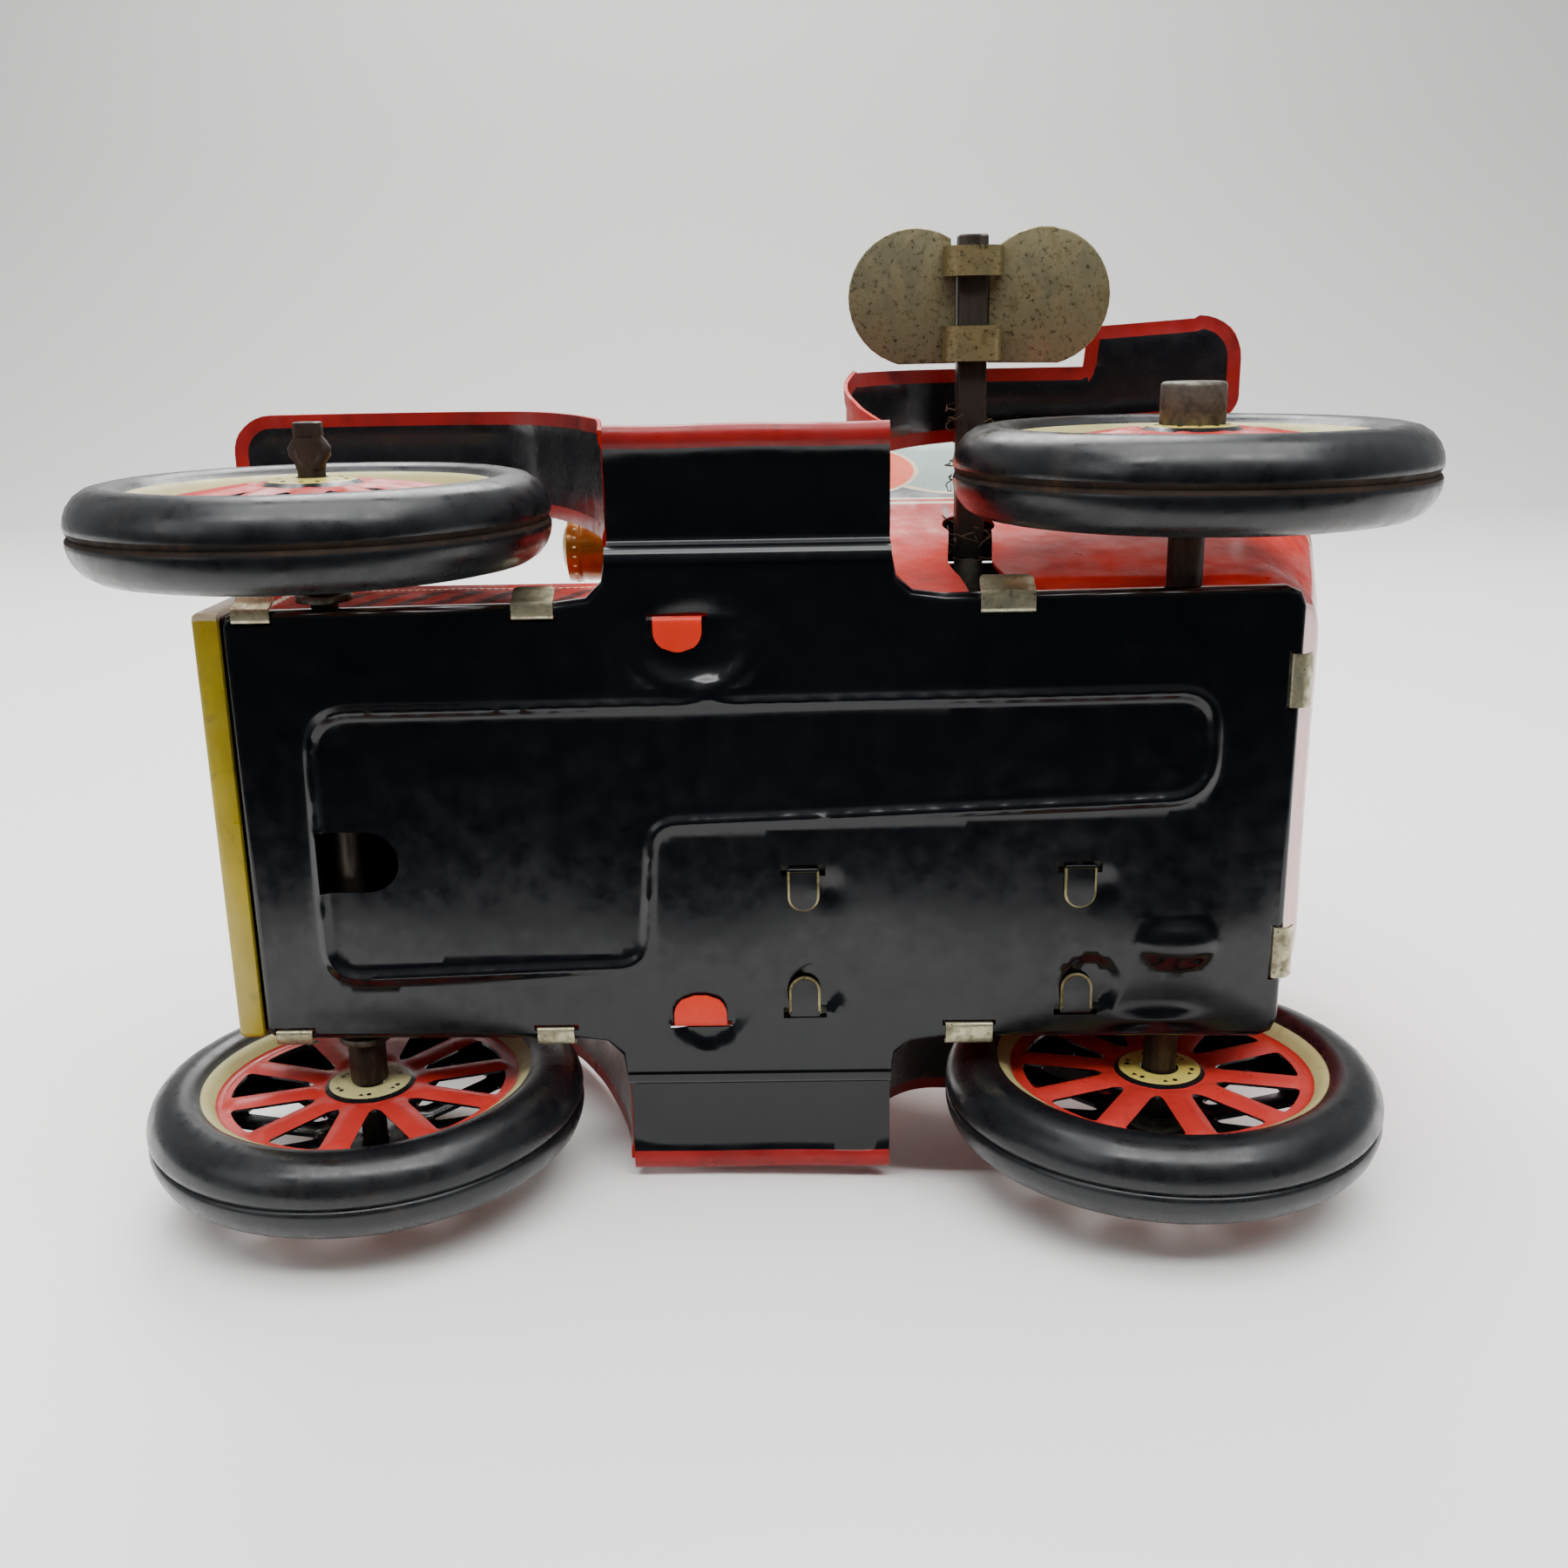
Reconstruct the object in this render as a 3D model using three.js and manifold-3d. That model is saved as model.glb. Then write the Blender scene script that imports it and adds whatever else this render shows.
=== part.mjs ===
// Wind-up tin touring car, about 150 mm long, drawn as it would come apart on a bench.
// Millimetres. +X is the front of the car, +Y its left side, +Z up.
// The origin is on the underside of the floor pan, midway along it and on its centre line.
import * as THREE from 'three';
import { mergeVertices } from 'three/addons/utils/BufferGeometryUtils.js';
import Module from 'manifold-3d';

const wasm = await Module();
wasm.setup();

// ---------------------------------------------------------------- driving dimensions
const TIN = 0.5;                      // tinplate thickness
const GAP = 0.3;                      // gap between pieces that touch
const PAN_X = 61;                     // half length of the floor pan
const PAN_FRONT_Y = 26.1;             // half width of the pan at its front edge
const PAN_REAR_Y = 27.3;              // half width of the pan at its rear edge
const RIM_H = 2;                      // height of the pan's turned-up rim
const EAR_Y = 31.9;                   // where an ear ends and the running board begins
const BOARD_FRONT_X = 17.4;           // running board, front end
const BOARD_REAR_X = -14.5;           // running board, rear end
const BOARD_Y = 45.4;                 // running board, outer edge
const BOARD_Z = 3.5;                  // the running board stands this much above the pan
const AXLE_Z = 3.8;                   // both axles above the underside of the pan
const FRONT_AXLE_X = 50.1;
const REAR_AXLE_X = -47.9;
const FRONT_AXLE_R = 1.55;
const REAR_AXLE_R = 2.03;
const WHEEL_R = 26.3;
const FRONT_WHEEL_Y = { left: 35.7, right: -36.3 };
const REAR_WHEEL_Y = { left: 40, right: -35.7 };   // the rear axle sits to the left in its end play
const SPOKES = 10;
const HUB_CAP_R = 3.6;
const MOTOR_LEFT_Y = -5.3;            // middle plane of the left motor plate
const MOTOR_RIGHT_Y = -23.3;          // middle plane of the right motor plate
const MOTOR_TIN = 0.8;
const MOTOR_TAB_X = [-4.2, -36.6];    // where the motor plates' tabs pass through the pan
const ARBOR = [-26.6, 34];            // winding arbor, in side view
const REAR_AXLE = [REAR_AXLE_X, AXLE_Z];
const ARBOR_HALF = 1.85;              // half the arbor's square section
const MODULE = 0.65;                  // gear module
const GREAT_TEETH = 48;
const SECOND_PINION_TEETH = 12;
const SECOND_TEETH = 44;
const AXLE_PINION_TEETH = 12;
const KEY_Y0 = 51.2;                  // straight lower edge of the key's wings
const WALL_Y = 25.3;                  // bodywork's sides where they stand inside the pan's rim
const HOOD_REAR_X = 15.6;
const HOOD_FRONT_X = 61;
const HOOD_SIDE_Z = 24;               // top of the bonnet's upright sides
const HOOD_TOP_Z = 36.5;
const TUB_FRONT_X = 14.6;
const LAMP_X = 16;                    // back of a dash lamp
const LAMP_Y = 27.8;
const LAMP_Z = 40;
const LAMP_R = 4.5;

// ---------------------------------------------------------------- helpers
function solid(geometry) {
  const bare = geometry.clone();
  bare.deleteAttribute('normal');
  bare.deleteAttribute('uv');
  const merged = mergeVertices(bare, 1e-4);
  return new wasm.Manifold(new wasm.Mesh({
    numProp: 3,
    vertProperties: Float32Array.from(merged.attributes.position.array),
    triVerts: Uint32Array.from(merged.index.array),
  }));
}

function toGeometry(manifold) {
  const mesh = manifold.getMesh();
  const geometry = new THREE.BufferGeometry();
  geometry.setAttribute('position', new THREE.BufferAttribute(Float32Array.from(mesh.vertProperties), 3));
  geometry.setIndex(new THREE.BufferAttribute(Uint32Array.from(mesh.triVerts), 1));
  return geometry;
}

function polygon(points) {
  return new THREE.Shape(points.map(([u, v]) => new THREE.Vector2(u, v)));
}

function roundedRect(u0, u1, v0, v1, r) {
  const shape = new THREE.Shape();
  shape.moveTo(u0 + r, v0);
  shape.lineTo(u1 - r, v0);
  shape.absarc(u1 - r, v0 + r, r, -Math.PI / 2, 0, false);
  shape.lineTo(u1, v1 - r);
  shape.absarc(u1 - r, v1 - r, r, 0, Math.PI / 2, false);
  shape.lineTo(u0 + r, v1);
  shape.absarc(u0 + r, v1 - r, r, Math.PI / 2, Math.PI, false);
  shape.lineTo(u0, v0 + r);
  shape.absarc(u0 + r, v0 + r, r, Math.PI, 1.5 * Math.PI, false);
  return shape;
}

// A plan outline (x, y) made solid from z0 to z1.
function alongZ(shape, z0, z1, curveSegments = 5) {
  const geometry = new THREE.ExtrudeGeometry(shape, { depth: z1 - z0, bevelEnabled: false, curveSegments });
  geometry.translate(0, 0, z0);
  return geometry;
}

// A side outline (x, z) made solid from y0 to y1.
function alongY(shape, y0, y1, curveSegments = 5) {
  const geometry = new THREE.ExtrudeGeometry(shape, { depth: y1 - y0, bevelEnabled: false, curveSegments });
  geometry.rotateX(Math.PI / 2);
  geometry.translate(0, y1, 0);
  return geometry;
}

// A cross-section (y, z) made solid from x0 to x1.
function alongX(shape, x0, x1, curveSegments = 5) {
  const geometry = new THREE.ExtrudeGeometry(shape, { depth: x1 - x0, bevelEnabled: false, curveSegments });
  const turn = new THREE.Matrix4().makeBasis(
    new THREE.Vector3(0, 1, 0), new THREE.Vector3(0, 0, 1), new THREE.Vector3(1, 0, 0));
  geometry.applyMatrix4(turn);
  geometry.translate(x0, 0, 0);
  return geometry;
}

function box(x0, x1, y0, y1, z0, z1) {
  const geometry = new THREE.BoxGeometry(x1 - x0, y1 - y0, z1 - z0);
  geometry.translate((x0 + x1) / 2, (y0 + y1) / 2, (z0 + z1) / 2);
  return geometry;
}

// A cylinder along Y.
function pin(x, z, r, y0, y1, segments = 20) {
  const geometry = new THREE.CylinderGeometry(r, r, y1 - y0, segments);
  geometry.translate(x, (y0 + y1) / 2, z);
  return geometry;
}

function union(list) {
  return list.reduce((sum, item) => sum.add(item));
}

function finish(name, shape, color, roughness = 0.35, metalness = 0.2) {
  const geometry = shape.isBufferGeometry ? shape : toGeometry(shape);
  const mesh = new THREE.Mesh(geometry, new THREE.MeshStandardMaterial({ color, roughness, metalness }));
  mesh.name = name;
  return mesh;
}

const BLACK = 0x0a0c10;
const RED = 0xb82a16;
const DARK_RED = 0x8c1a16;
const YELLOW = 0x96821a;
const STEEL = 0x55504a;
const BRASS = 0x73694b;
const AMBER = 0x8a4a12;
const LENS = 0xbeb478;
const CREAM = 0xbeb98c;
const HIDE = 0x4a2418;

const car = new THREE.Group();

// ---------------------------------------------------------------- floor pan with its running boards
function panHalfWidth(x) {
  return PAN_FRONT_Y + (PAN_REAR_Y - PAN_FRONT_Y) * (PAN_X - x) / (2 * PAN_X);
}

// Plan outline of the pan and its two ears. Each ear grows out of the side in a hollow curve.
function panOutline() {
  const shape = new THREE.Shape();
  const corner = 2;
  const sweep = 6;
  const yFront = panHalfWidth(BOARD_FRONT_X + sweep);
  const yRear = panHalfWidth(BOARD_REAR_X - sweep);
  shape.moveTo(PAN_X, -PAN_FRONT_Y + corner);
  shape.lineTo(PAN_X, PAN_FRONT_Y - corner);
  shape.quadraticCurveTo(PAN_X, PAN_FRONT_Y, PAN_X - corner, PAN_FRONT_Y);
  shape.lineTo(BOARD_FRONT_X + sweep, yFront);
  shape.quadraticCurveTo(BOARD_FRONT_X + 1, yFront, BOARD_FRONT_X, EAR_Y);
  shape.lineTo(BOARD_REAR_X, EAR_Y);
  shape.quadraticCurveTo(BOARD_REAR_X - 1, yRear, BOARD_REAR_X - sweep, yRear);
  shape.lineTo(-PAN_X + corner, PAN_REAR_Y);
  shape.quadraticCurveTo(-PAN_X, PAN_REAR_Y, -PAN_X, PAN_REAR_Y - corner);
  shape.lineTo(-PAN_X, -PAN_REAR_Y + corner);
  shape.quadraticCurveTo(-PAN_X, -PAN_REAR_Y, -PAN_X + corner, -PAN_REAR_Y);
  shape.lineTo(BOARD_REAR_X - sweep, -yRear);
  shape.quadraticCurveTo(BOARD_REAR_X - 1, -yRear, BOARD_REAR_X, -EAR_Y);
  shape.lineTo(BOARD_FRONT_X, -EAR_Y);
  shape.quadraticCurveTo(BOARD_FRONT_X + 1, -yFront, BOARD_FRONT_X + sweep, -yFront);
  shape.lineTo(PAN_X - corner, -PAN_FRONT_Y);
  shape.quadraticCurveTo(PAN_X, -PAN_FRONT_Y, PAN_X, -PAN_FRONT_Y + corner);
  return shape;
}

// The space inside the rim. It widens past the ears, where the rim is left off.
function panInside() {
  const front = PAN_FRONT_Y - TIN;
  const rear = PAN_REAR_Y - TIN;
  const reach = EAR_Y + 1;
  const half = [
    [PAN_X - TIN, front],
    [BOARD_FRONT_X + 6, panHalfWidth(BOARD_FRONT_X + 6) - TIN],
    [BOARD_FRONT_X + 6, reach],
    [BOARD_REAR_X - 6, reach],
    [BOARD_REAR_X - 6, panHalfWidth(BOARD_REAR_X - 6) - TIN],
    [-PAN_X + TIN, rear],
  ];
  const mirrored = half.map(([x, y]) => [x, -y]).reverse();
  return polygon([...half, ...mirrored]);
}

// The joggle and the running board of one side; side is 1 for left and -1 for right.
function runningBoard(side) {
  const section = polygon([
    [side * (EAR_Y - 0.4), 0],
    [side * EAR_Y, 0],
    [side * (EAR_Y + 0.6), BOARD_Z],
    [side * BOARD_Y, BOARD_Z],
    [side * BOARD_Y, BOARD_Z + 2 * TIN],
    [side * (BOARD_Y - 1.8), BOARD_Z + 2 * TIN],
    [side * (BOARD_Y - 1.8), BOARD_Z + TIN],
    [side * (EAR_Y + 0.1), BOARD_Z + TIN],
    [side * (EAR_Y - 0.4), TIN],
  ]);
  return solid(alongX(section, BOARD_REAR_X, BOARD_FRONT_X));
}

// A stiffening bead round an L-shaped field, as a band between two outlines.
function beadOutline(inset) {
  const x0 = -51.6 + inset;
  const x1 = 52.2 - inset;
  const y1 = 15.6 - inset;
  const yStep = 1.6 + inset;
  const xStep = 14.2 + inset;
  const y0 = -17.8 + inset;
  return polygon([[x0, yStep], [xStep, yStep], [xStep, y0], [x1, y0], [x1, y1], [x0, y1]]);
}

// Tabs of the bodywork that pass through slots in the pan: [x0, x1] or [y0, y1].
const HOOD_TAB_X = [[55.3, 59.6], [23.4, 28.2]];
const RIGHT_TUB_TAB_X = [-26.8, -21];
const REAR_TAB_Y = [[13.4, 19.6], [-19.5, -13.2]];
const UNDER_TAB_X = { left: [6.8, 12.3], right: [5.2, 11.5] };
const LEFT_PAN_TAB_X = [-30.7, -24.4];

function buildPan() {
  let pan = solid(alongZ(panOutline(), 0, RIM_H)).subtract(solid(alongZ(panInside(), TIN, RIM_H + 1)));
  const overEars = [1, -1].map((side) => solid(box(
    BOARD_REAR_X - 6, BOARD_FRONT_X + 6, Math.min(side * 26, side * 40), Math.max(side * 26, side * 40), TIN, 9)));
  pan = pan.subtract(union(overEars));
  pan = union([pan, runningBoard(1), runningBoard(-1)]);
  const groove = solid(alongZ(beadOutline(0), -1, 0.25)).subtract(solid(alongZ(beadOutline(1.5), -2, 1)));
  pan = pan.subtract(groove);
  // D-shaped hole over the front axle
  const dee = new THREE.Shape();
  dee.moveTo(52.6, 0.1);
  dee.lineTo(46.9, 0.1);
  dee.absarc(46.9, -3.6, 3.7, Math.PI / 2, -Math.PI / 2, false);
  dee.lineTo(52.6, -7.3);
  pan = pan.subtract(solid(alongZ(dee, -1, 2)));
  // clearance blister under the gear on the rear axle
  const blister = solid(pin(REAR_AXLE_X, AXLE_Z, 6, -18.2, -12.2, 24)).intersect(
    solid(box(-60, -30, -19, -11, -4, TIN)));
  const hollow = solid(pin(REAR_AXLE_X, AXLE_Z, 5.4, -17.6, -12.8, 24));
  pan = pan.add(blister).subtract(hollow);
  // notches in the rim for both axles
  pan = pan.subtract(solid(pin(REAR_AXLE_X, AXLE_Z, 3.3, -40, 40, 16)).intersect(
    solid(box(-60, -30, -40, 40, TIN + 0.2, 9)).subtract(solid(box(-60, -30, -20, -10, -1, 9)))));
  pan = pan.subtract(solid(pin(FRONT_AXLE_X, AXLE_Z, 2.9, -40, 40, 16)).intersect(solid(box(40, 60, -40, 40, 0.8, 9))));
  // tab slots
  const cuts = [];
  for (const side of [1, -1]) {
    const y0 = Math.min(side * (WALL_Y - 0.75), side * (WALL_Y + 0.3));
    const under = side > 0 ? UNDER_TAB_X.left : UNDER_TAB_X.right;
    const runs = side > 0 ? [...HOOD_TAB_X, under] : [...HOOD_TAB_X, under, RIGHT_TUB_TAB_X];
    for (const [x0, x1] of runs) {
      cuts.push(solid(box(x0 - GAP, x1 + GAP, y0, y0 + 1.05, -1, TIN + 0.05)));
    }
  }
  for (const [y0, y1] of REAR_TAB_Y) {
    cuts.push(solid(box(-60.4, -59.35, y0 - GAP, y1 + GAP, -1, TIN + 0.05)));
  }
  for (const y of [MOTOR_LEFT_Y, MOTOR_RIGHT_Y]) {
    for (const x of MOTOR_TAB_X) {
      cuts.push(solid(box(x - 2.3, x + 2.3, y - 0.7, y + 0.7, -1, TIN + 0.1)));
    }
  }
  // a tongue of the pan itself, turned up outside the rim below the keyhole
  const edge = panHalfWidth(LEFT_PAN_TAB_X[0]);
  const tongue = solid(box(...LEFT_PAN_TAB_X, edge - 0.3, edge + 0.6, 0, 3.6));
  return pan.subtract(union(cuts)).add(tongue);
}

car.add(finish('floor_pan', buildPan(), BLACK, 0.25, 0.1));

// ---------------------------------------------------------------- mudguards
// Each is a strip of tin, bent in side view and trimmed to a plan outline with round free corners.
function strip(path, thickness) {
  const outer = [];
  const inner = [];
  path.forEach(([x, z], i) => {
    const [xa, za] = path[Math.max(i - 1, 0)];
    const [xb, zb] = path[Math.min(i + 1, path.length - 1)];
    const length = Math.hypot(xb - xa, zb - za);
    outer.push([x - thickness * (zb - za) / length, z + thickness * (xb - xa) / length]);
    inner.push([x, z]);
  });
  return polygon([...inner, ...outer.reverse()]);
}

function curvePoints(points, count) {
  const curve = new THREE.CatmullRomCurve3(points.map(([x, z]) => new THREE.Vector3(x, z, 0)));
  return curve.getSpacedPoints(count).map((p) => [p.x, p.y]);
}

const FRONT_FENDER_PATH = curvePoints(
  [[17.8, 5], [18.7, 12], [20.8, 19.5], [25, 30], [31, 39], [41, 42.8], [56, 43.2], [71.5, 41]], 20);
const REAR_FENDER_PATH = curvePoints(
  [[-14.6, 5], [-11.9, 11], [-10.6, 18], [-14, 30], [-19.5, 38], [-27, 41], [-44, 41.8], [-56, 40.6], [-62.5, 38.4]], 22);

function fenderPlan(front) {
  const shape = new THREE.Shape();
  if (front) {
    shape.moveTo(15, EAR_Y + 0.4);
    shape.lineTo(67, EAR_Y + 0.8);
    shape.quadraticCurveTo(71.5, EAR_Y + 0.8, 71.5, EAR_Y + 5);
    shape.lineTo(71.5, 41);
    shape.quadraticCurveTo(71.5, 46.2, 66, 46.2);
    shape.lineTo(25, 46);
    shape.lineTo(15, BOARD_Y);
  } else {
    shape.moveTo(-8, 37);
    shape.lineTo(-8, 47.6);
    shape.quadraticCurveTo(-14, 53, -24, 54.2);
    shape.lineTo(-58, 56.9);
    shape.quadraticCurveTo(-62.5, 56.6, -62.5, 51.5);
    shape.lineTo(-62.5, 46.5);
    shape.quadraticCurveTo(-61.5, 43.4, -56, 43.4);
    shape.lineTo(-24, 41);
    shape.lineTo(-12, 38.4);
  }
  return shape;
}

function buildFender(front, side) {
  const path = front ? FRONT_FENDER_PATH : REAR_FENDER_PATH.slice().reverse();
  let fender = solid(alongY(strip(path, TIN), 20, 70));
  if (front) {
    fender = fender.intersect(solid(alongZ(fenderPlan(true), -10, 80)));
  } else {
    const upper = solid(alongZ(fenderPlan(false), 15, 80));
    const middle = solid(alongX(polygon([[34, 3], [38, 15.1], [49.5, 15.1], [45.4, 3]]), -20, -8));
    fender = fender.intersect(union([upper, middle]));
    if (side > 0) {
      // the outer edge is cut back where the wings of the key swing past
      fender = fender.subtract(solid(pin(...ARBOR, 18.2, KEY_Y0 - 0.6, 80, 40)));
    }
  }
  return side > 0 ? fender : fender.mirror([0, 1, 0]);
}

for (const [side, label] of [[1, 'left'], [-1, 'right']]) {
  car.add(finish(`front_fender_${label}`, buildFender(true, side), BLACK, 0.3, 0.1));
  car.add(finish(`rear_fender_${label}`, buildFender(false, side), BLACK, 0.3, 0.1));
}

// ---------------------------------------------------------------- body tub
// The cross-section and the side outline are both sloped, so the walls are the difference of two
// crossed prisms, the inner one a tin's thickness smaller.
function tubSection(inset) {
  const half = [[25.3, 0.8], [25.4, 2.4], [29.5, 26], [30.2, 31], [32, 38], [34.2, 45], [40, 55], [41, 60], [41, 80]];
  const left = half.map(([y, z]) => [y - inset, z]);
  left[0][1] -= inset * 6;
  const right = left.map(([y, z]) => [-y, z]).reverse();
  return polygon([...left, ...right]);
}

function tubSide(inset) {
  const low = 0.8 - inset * 6;
  const outline = [
    [TUB_FRONT_X + inset * 4, low], [TUB_FRONT_X + inset * 4, 50 + inset * 60],
    [9, 58 + inset * 60], [0, 61 + inset * 60], [-55, 62 + inset * 60], [-80 + inset, 68 + inset * 60],
    [-78.2 + inset, 60], [-75.8 + inset, 45], [-71.9 + inset, 30], [-66.7 + inset, 13],
    [-60.1 + inset, 2.4], [-60.1 + inset, low]];
  return polygon(outline);
}

function tubBlock(inset) {
  const across = solid(alongX(tubSection(inset), -90, 20));
  const plan = solid(alongZ(roundedRect(-80.1 + inset, 40, -41.5 + inset, 41.5 - inset, 10 - inset), -5, 110, 4));
  return across.intersect(solid(alongY(tubSide(inset), -50, 50))).intersect(plan);
}

// A tab of the bodywork: down through its slot, out below the pan and up over the rim.
function edgeTab(side, x0, x1, top = 3.4) {
  const edge = panHalfWidth((x0 + x1) / 2);
  const pieces = [
    [WALL_Y - 0.45, WALL_Y, -0.8, 1.6],
    [WALL_Y - 0.45, edge + 0.8, -0.8, -0.3],
    [edge + 0.3, edge + 0.8, -0.8, top],
  ];
  return union(pieces.map(([a, b, z0, z1]) => {
    const y0 = Math.min(side * a, side * b);
    return solid(box(x0, x1, y0, y0 + b - a, z0, z1));
  }));
}

// A tab folded inward under the pan, with a round end.
function underTab(side, x0, x1) {
  const r = (x1 - x0) / 2;
  const shape = new THREE.Shape();
  shape.moveTo(x0, side * (WALL_Y));
  shape.lineTo(x0, side * (20.7 + r));
  shape.absarc((x0 + x1) / 2, side * (20.7 + r), r, Math.PI, 2 * Math.PI, side < 0);
  shape.lineTo(x1, side * WALL_Y);
  const y0 = Math.min(side * (WALL_Y - 0.45), side * WALL_Y);
  return union([solid(alongZ(shape, -0.8, -0.3, 4)), solid(box(x0, x1, y0, y0 + 0.45, -0.8, 1.6))]);
}

function rearTab(y0, y1) {
  return union([
    solid(box(-60.1, -59.65, y0, y1, -0.8, 1.6)),
    solid(box(-61.8, -59.65, y0, y1, -0.8, -0.3)),
    solid(box(-61.8, -61.3, y0, y1, -0.8, 1.2)),
  ]);
}

function buildTub() {
  let tub = tubBlock(0).subtract(tubBlock(TIN));
  const [ax, az] = ARBOR;
  tub = tub.subtract(union([
    solid(pin(ax, az + 0.3, 3.5, 20, 45, 20)),
    solid(box(ax - 2.9, ax + 2.9, 20, 45, -2, az)),
    solid(pin(...REAR_AXLE, 4, -45, 45, 20)),
    solid(box(REAR_AXLE_X - 4, REAR_AXLE_X + 4, -45, 45, -2, AXLE_Z)),
  ]));
  const tabs = [
    underTab(1, ...UNDER_TAB_X.left),
    underTab(-1, ...UNDER_TAB_X.right),
    edgeTab(-1, ...RIGHT_TUB_TAB_X),
    ...REAR_TAB_Y.map((run) => rearTab(...run)),
  ];
  return union([tub, ...tabs]);
}

car.add(finish('body_shell', buildTub(), RED, 0.3, 0.15));

// ---------------------------------------------------------------- bonnet, radiator and dashboard
function hoodArch(inset, low) {
  const y = WALL_Y - inset;
  const top = HOOD_TOP_Z - inset;
  const shape = new THREE.Shape();
  shape.moveTo(-y, low);
  shape.lineTo(y, low);
  shape.lineTo(y, HOOD_SIDE_Z);
  shape.bezierCurveTo(y, 32, y - 7, top - 0.5, 9, top);
  shape.lineTo(-9, top);
  shape.bezierCurveTo(7 - y, top - 0.5, -y, 32, -y, HOOD_SIDE_Z);
  return shape;
}

function buildHood() {
  let hood = solid(alongX(hoodArch(0, 0.8), HOOD_REAR_X, HOOD_FRONT_X, 8));
  hood = hood.subtract(solid(alongX(hoodArch(TIN, -2), HOOD_REAR_X - 1, HOOD_FRONT_X + 1, 8)));
  hood = hood.subtract(solid(box(60.2, 62, -30, 30, -1, 2.4)));
  hood = hood.subtract(solid(pin(FRONT_AXLE_X, AXLE_Z, FRONT_AXLE_R + GAP, -30, 30, 16)));
  const tabs = [1, -1].flatMap((side) => HOOD_TAB_X.map((run) => edgeTab(side, ...run)));
  return union([hood, ...tabs]);
}

car.add(finish('hood', buildHood(), RED, 0.3, 0.15));

function radiatorOutline(inset) {
  const y = 26 - inset;
  const top = 37.6 - inset;
  const shape = new THREE.Shape();
  shape.moveTo(-y, 0.3 + inset);
  shape.lineTo(y, 0.3 + inset);
  shape.lineTo(y, top - 11);
  shape.quadraticCurveTo(y, top, y - 11, top);
  shape.lineTo(11 - y, top);
  shape.quadraticCurveTo(-y, top, -y, top - 11);
  return shape;
}

const radiator = solid(alongX(radiatorOutline(0), 61.3, 64.5, 6))
  .subtract(solid(alongX(radiatorOutline(1), 61, 63.7, 6)));
car.add(finish('radiator', radiator, YELLOW, 0.4, 0.15));

const cap = new THREE.LatheGeometry(
  [[0, 0], [2.6, 0], [2.6, 0.9], [1.6, 1.2], [1.6, 2.2], [2.3, 2.4], [2, 3.4], [0, 3.8]]
    .map(([r, z]) => new THREE.Vector2(r, z)), 16);
cap.rotateX(Math.PI / 2);
cap.translate(62.7, 0, 37.9);
car.add(finish('radiator_cap', cap, BRASS, 0.35, 0.8));

function dashOutline() {
  const shape = new THREE.Shape();
  shape.moveTo(-24.8, 0.9);
  shape.lineTo(24.8, 0.9);
  shape.lineTo(31.5, 38);
  shape.quadraticCurveTo(32.5, 50, 22, 50.5);
  shape.lineTo(-22, 50.5);
  shape.quadraticCurveTo(-32.5, 50, -31.5, 38);
  return shape;
}

car.add(finish('dashboard', alongX(dashOutline(), 14.9, 15.3), RED, 0.3, 0.15));

// ---------------------------------------------------------------- dash lamps
for (const [side, label] of [[1, 'left'], [-1, 'right']]) {
  const shell = new THREE.LatheGeometry(
    [[0, 0], [1.1, 0], [1.3, 0.6], [2.8, 1.4], [LAMP_R - 0.4, 4], [LAMP_R, 8], [LAMP_R, 11.2], [LAMP_R - 0.5, 11.2],
      [LAMP_R - 0.5, 8], [LAMP_R - 0.9, 4.3], [2.2, 1.9], [0, 1.5]]
      .map(([r, x]) => new THREE.Vector2(r, x)), 20);
  shell.rotateZ(-Math.PI / 2);
  shell.translate(LAMP_X - 0.4, side * LAMP_Y, LAMP_Z);
  car.add(finish(`lamp_shell_${label}`, shell, AMBER, 0.4, 0.3));
  const lens = new THREE.LatheGeometry(
    [[0, 0], [3.6, 0], [3.6, 1], [3, 1.7], [1.6, 2.2], [0, 2.4]].map(([r, x]) => new THREE.Vector2(r, x)), 20);
  lens.rotateZ(-Math.PI / 2);
  lens.translate(LAMP_X + 9.8, side * LAMP_Y, LAMP_Z);
  car.add(finish(`lamp_lens_${label}`, lens, LENS, 0.15, 0));
}

// ---------------------------------------------------------------- floors, seats and steering
car.add(finish('front_floor', box(-6.4, 14.2, -28.8, 28.8, 30.9, 31.4), DARK_RED, 0.4, 0.1));
car.add(finish('rear_floor', box(-45.4, -8, -33, 33, 51.2, 51.7), DARK_RED, 0.4, 0.1));

const FRONT_SEAT = [[-5.2, 31.8], [-5.2, 55.5], [-20.5, 55.5], [-23.6, 71], [-26.4, 71], [-23.2, 52.4],
  [-6.4, 52.4], [-6.4, 31.8]];
const REAR_SEAT = [[-46, 52.1], [-46, 57.5], [-65.5, 57.5], [-70.5, 73], [-73.5, 73], [-68.6, 54],
  [-47.2, 54], [-47.2, 52.1]];

function sideOutline(points) {
  return polygon(points.slice().reverse());
}

car.add(finish('front_seat', alongY(sideOutline(FRONT_SEAT), -28, 28), HIDE, 0.6, 0));
car.add(finish('rear_seat', alongY(sideOutline(REAR_SEAT), -31, 31), HIDE, 0.6, 0));

const COLUMN_FOOT = new THREE.Vector3(10.8, -13, 32);
const COLUMN_HEAD = new THREE.Vector3(-2.6, -13, 65);
const columnAxis = COLUMN_HEAD.clone().sub(COLUMN_FOOT).normalize();
const columnTurn = new THREE.Quaternion().setFromUnitVectors(new THREE.Vector3(0, 1, 0), columnAxis);

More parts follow.
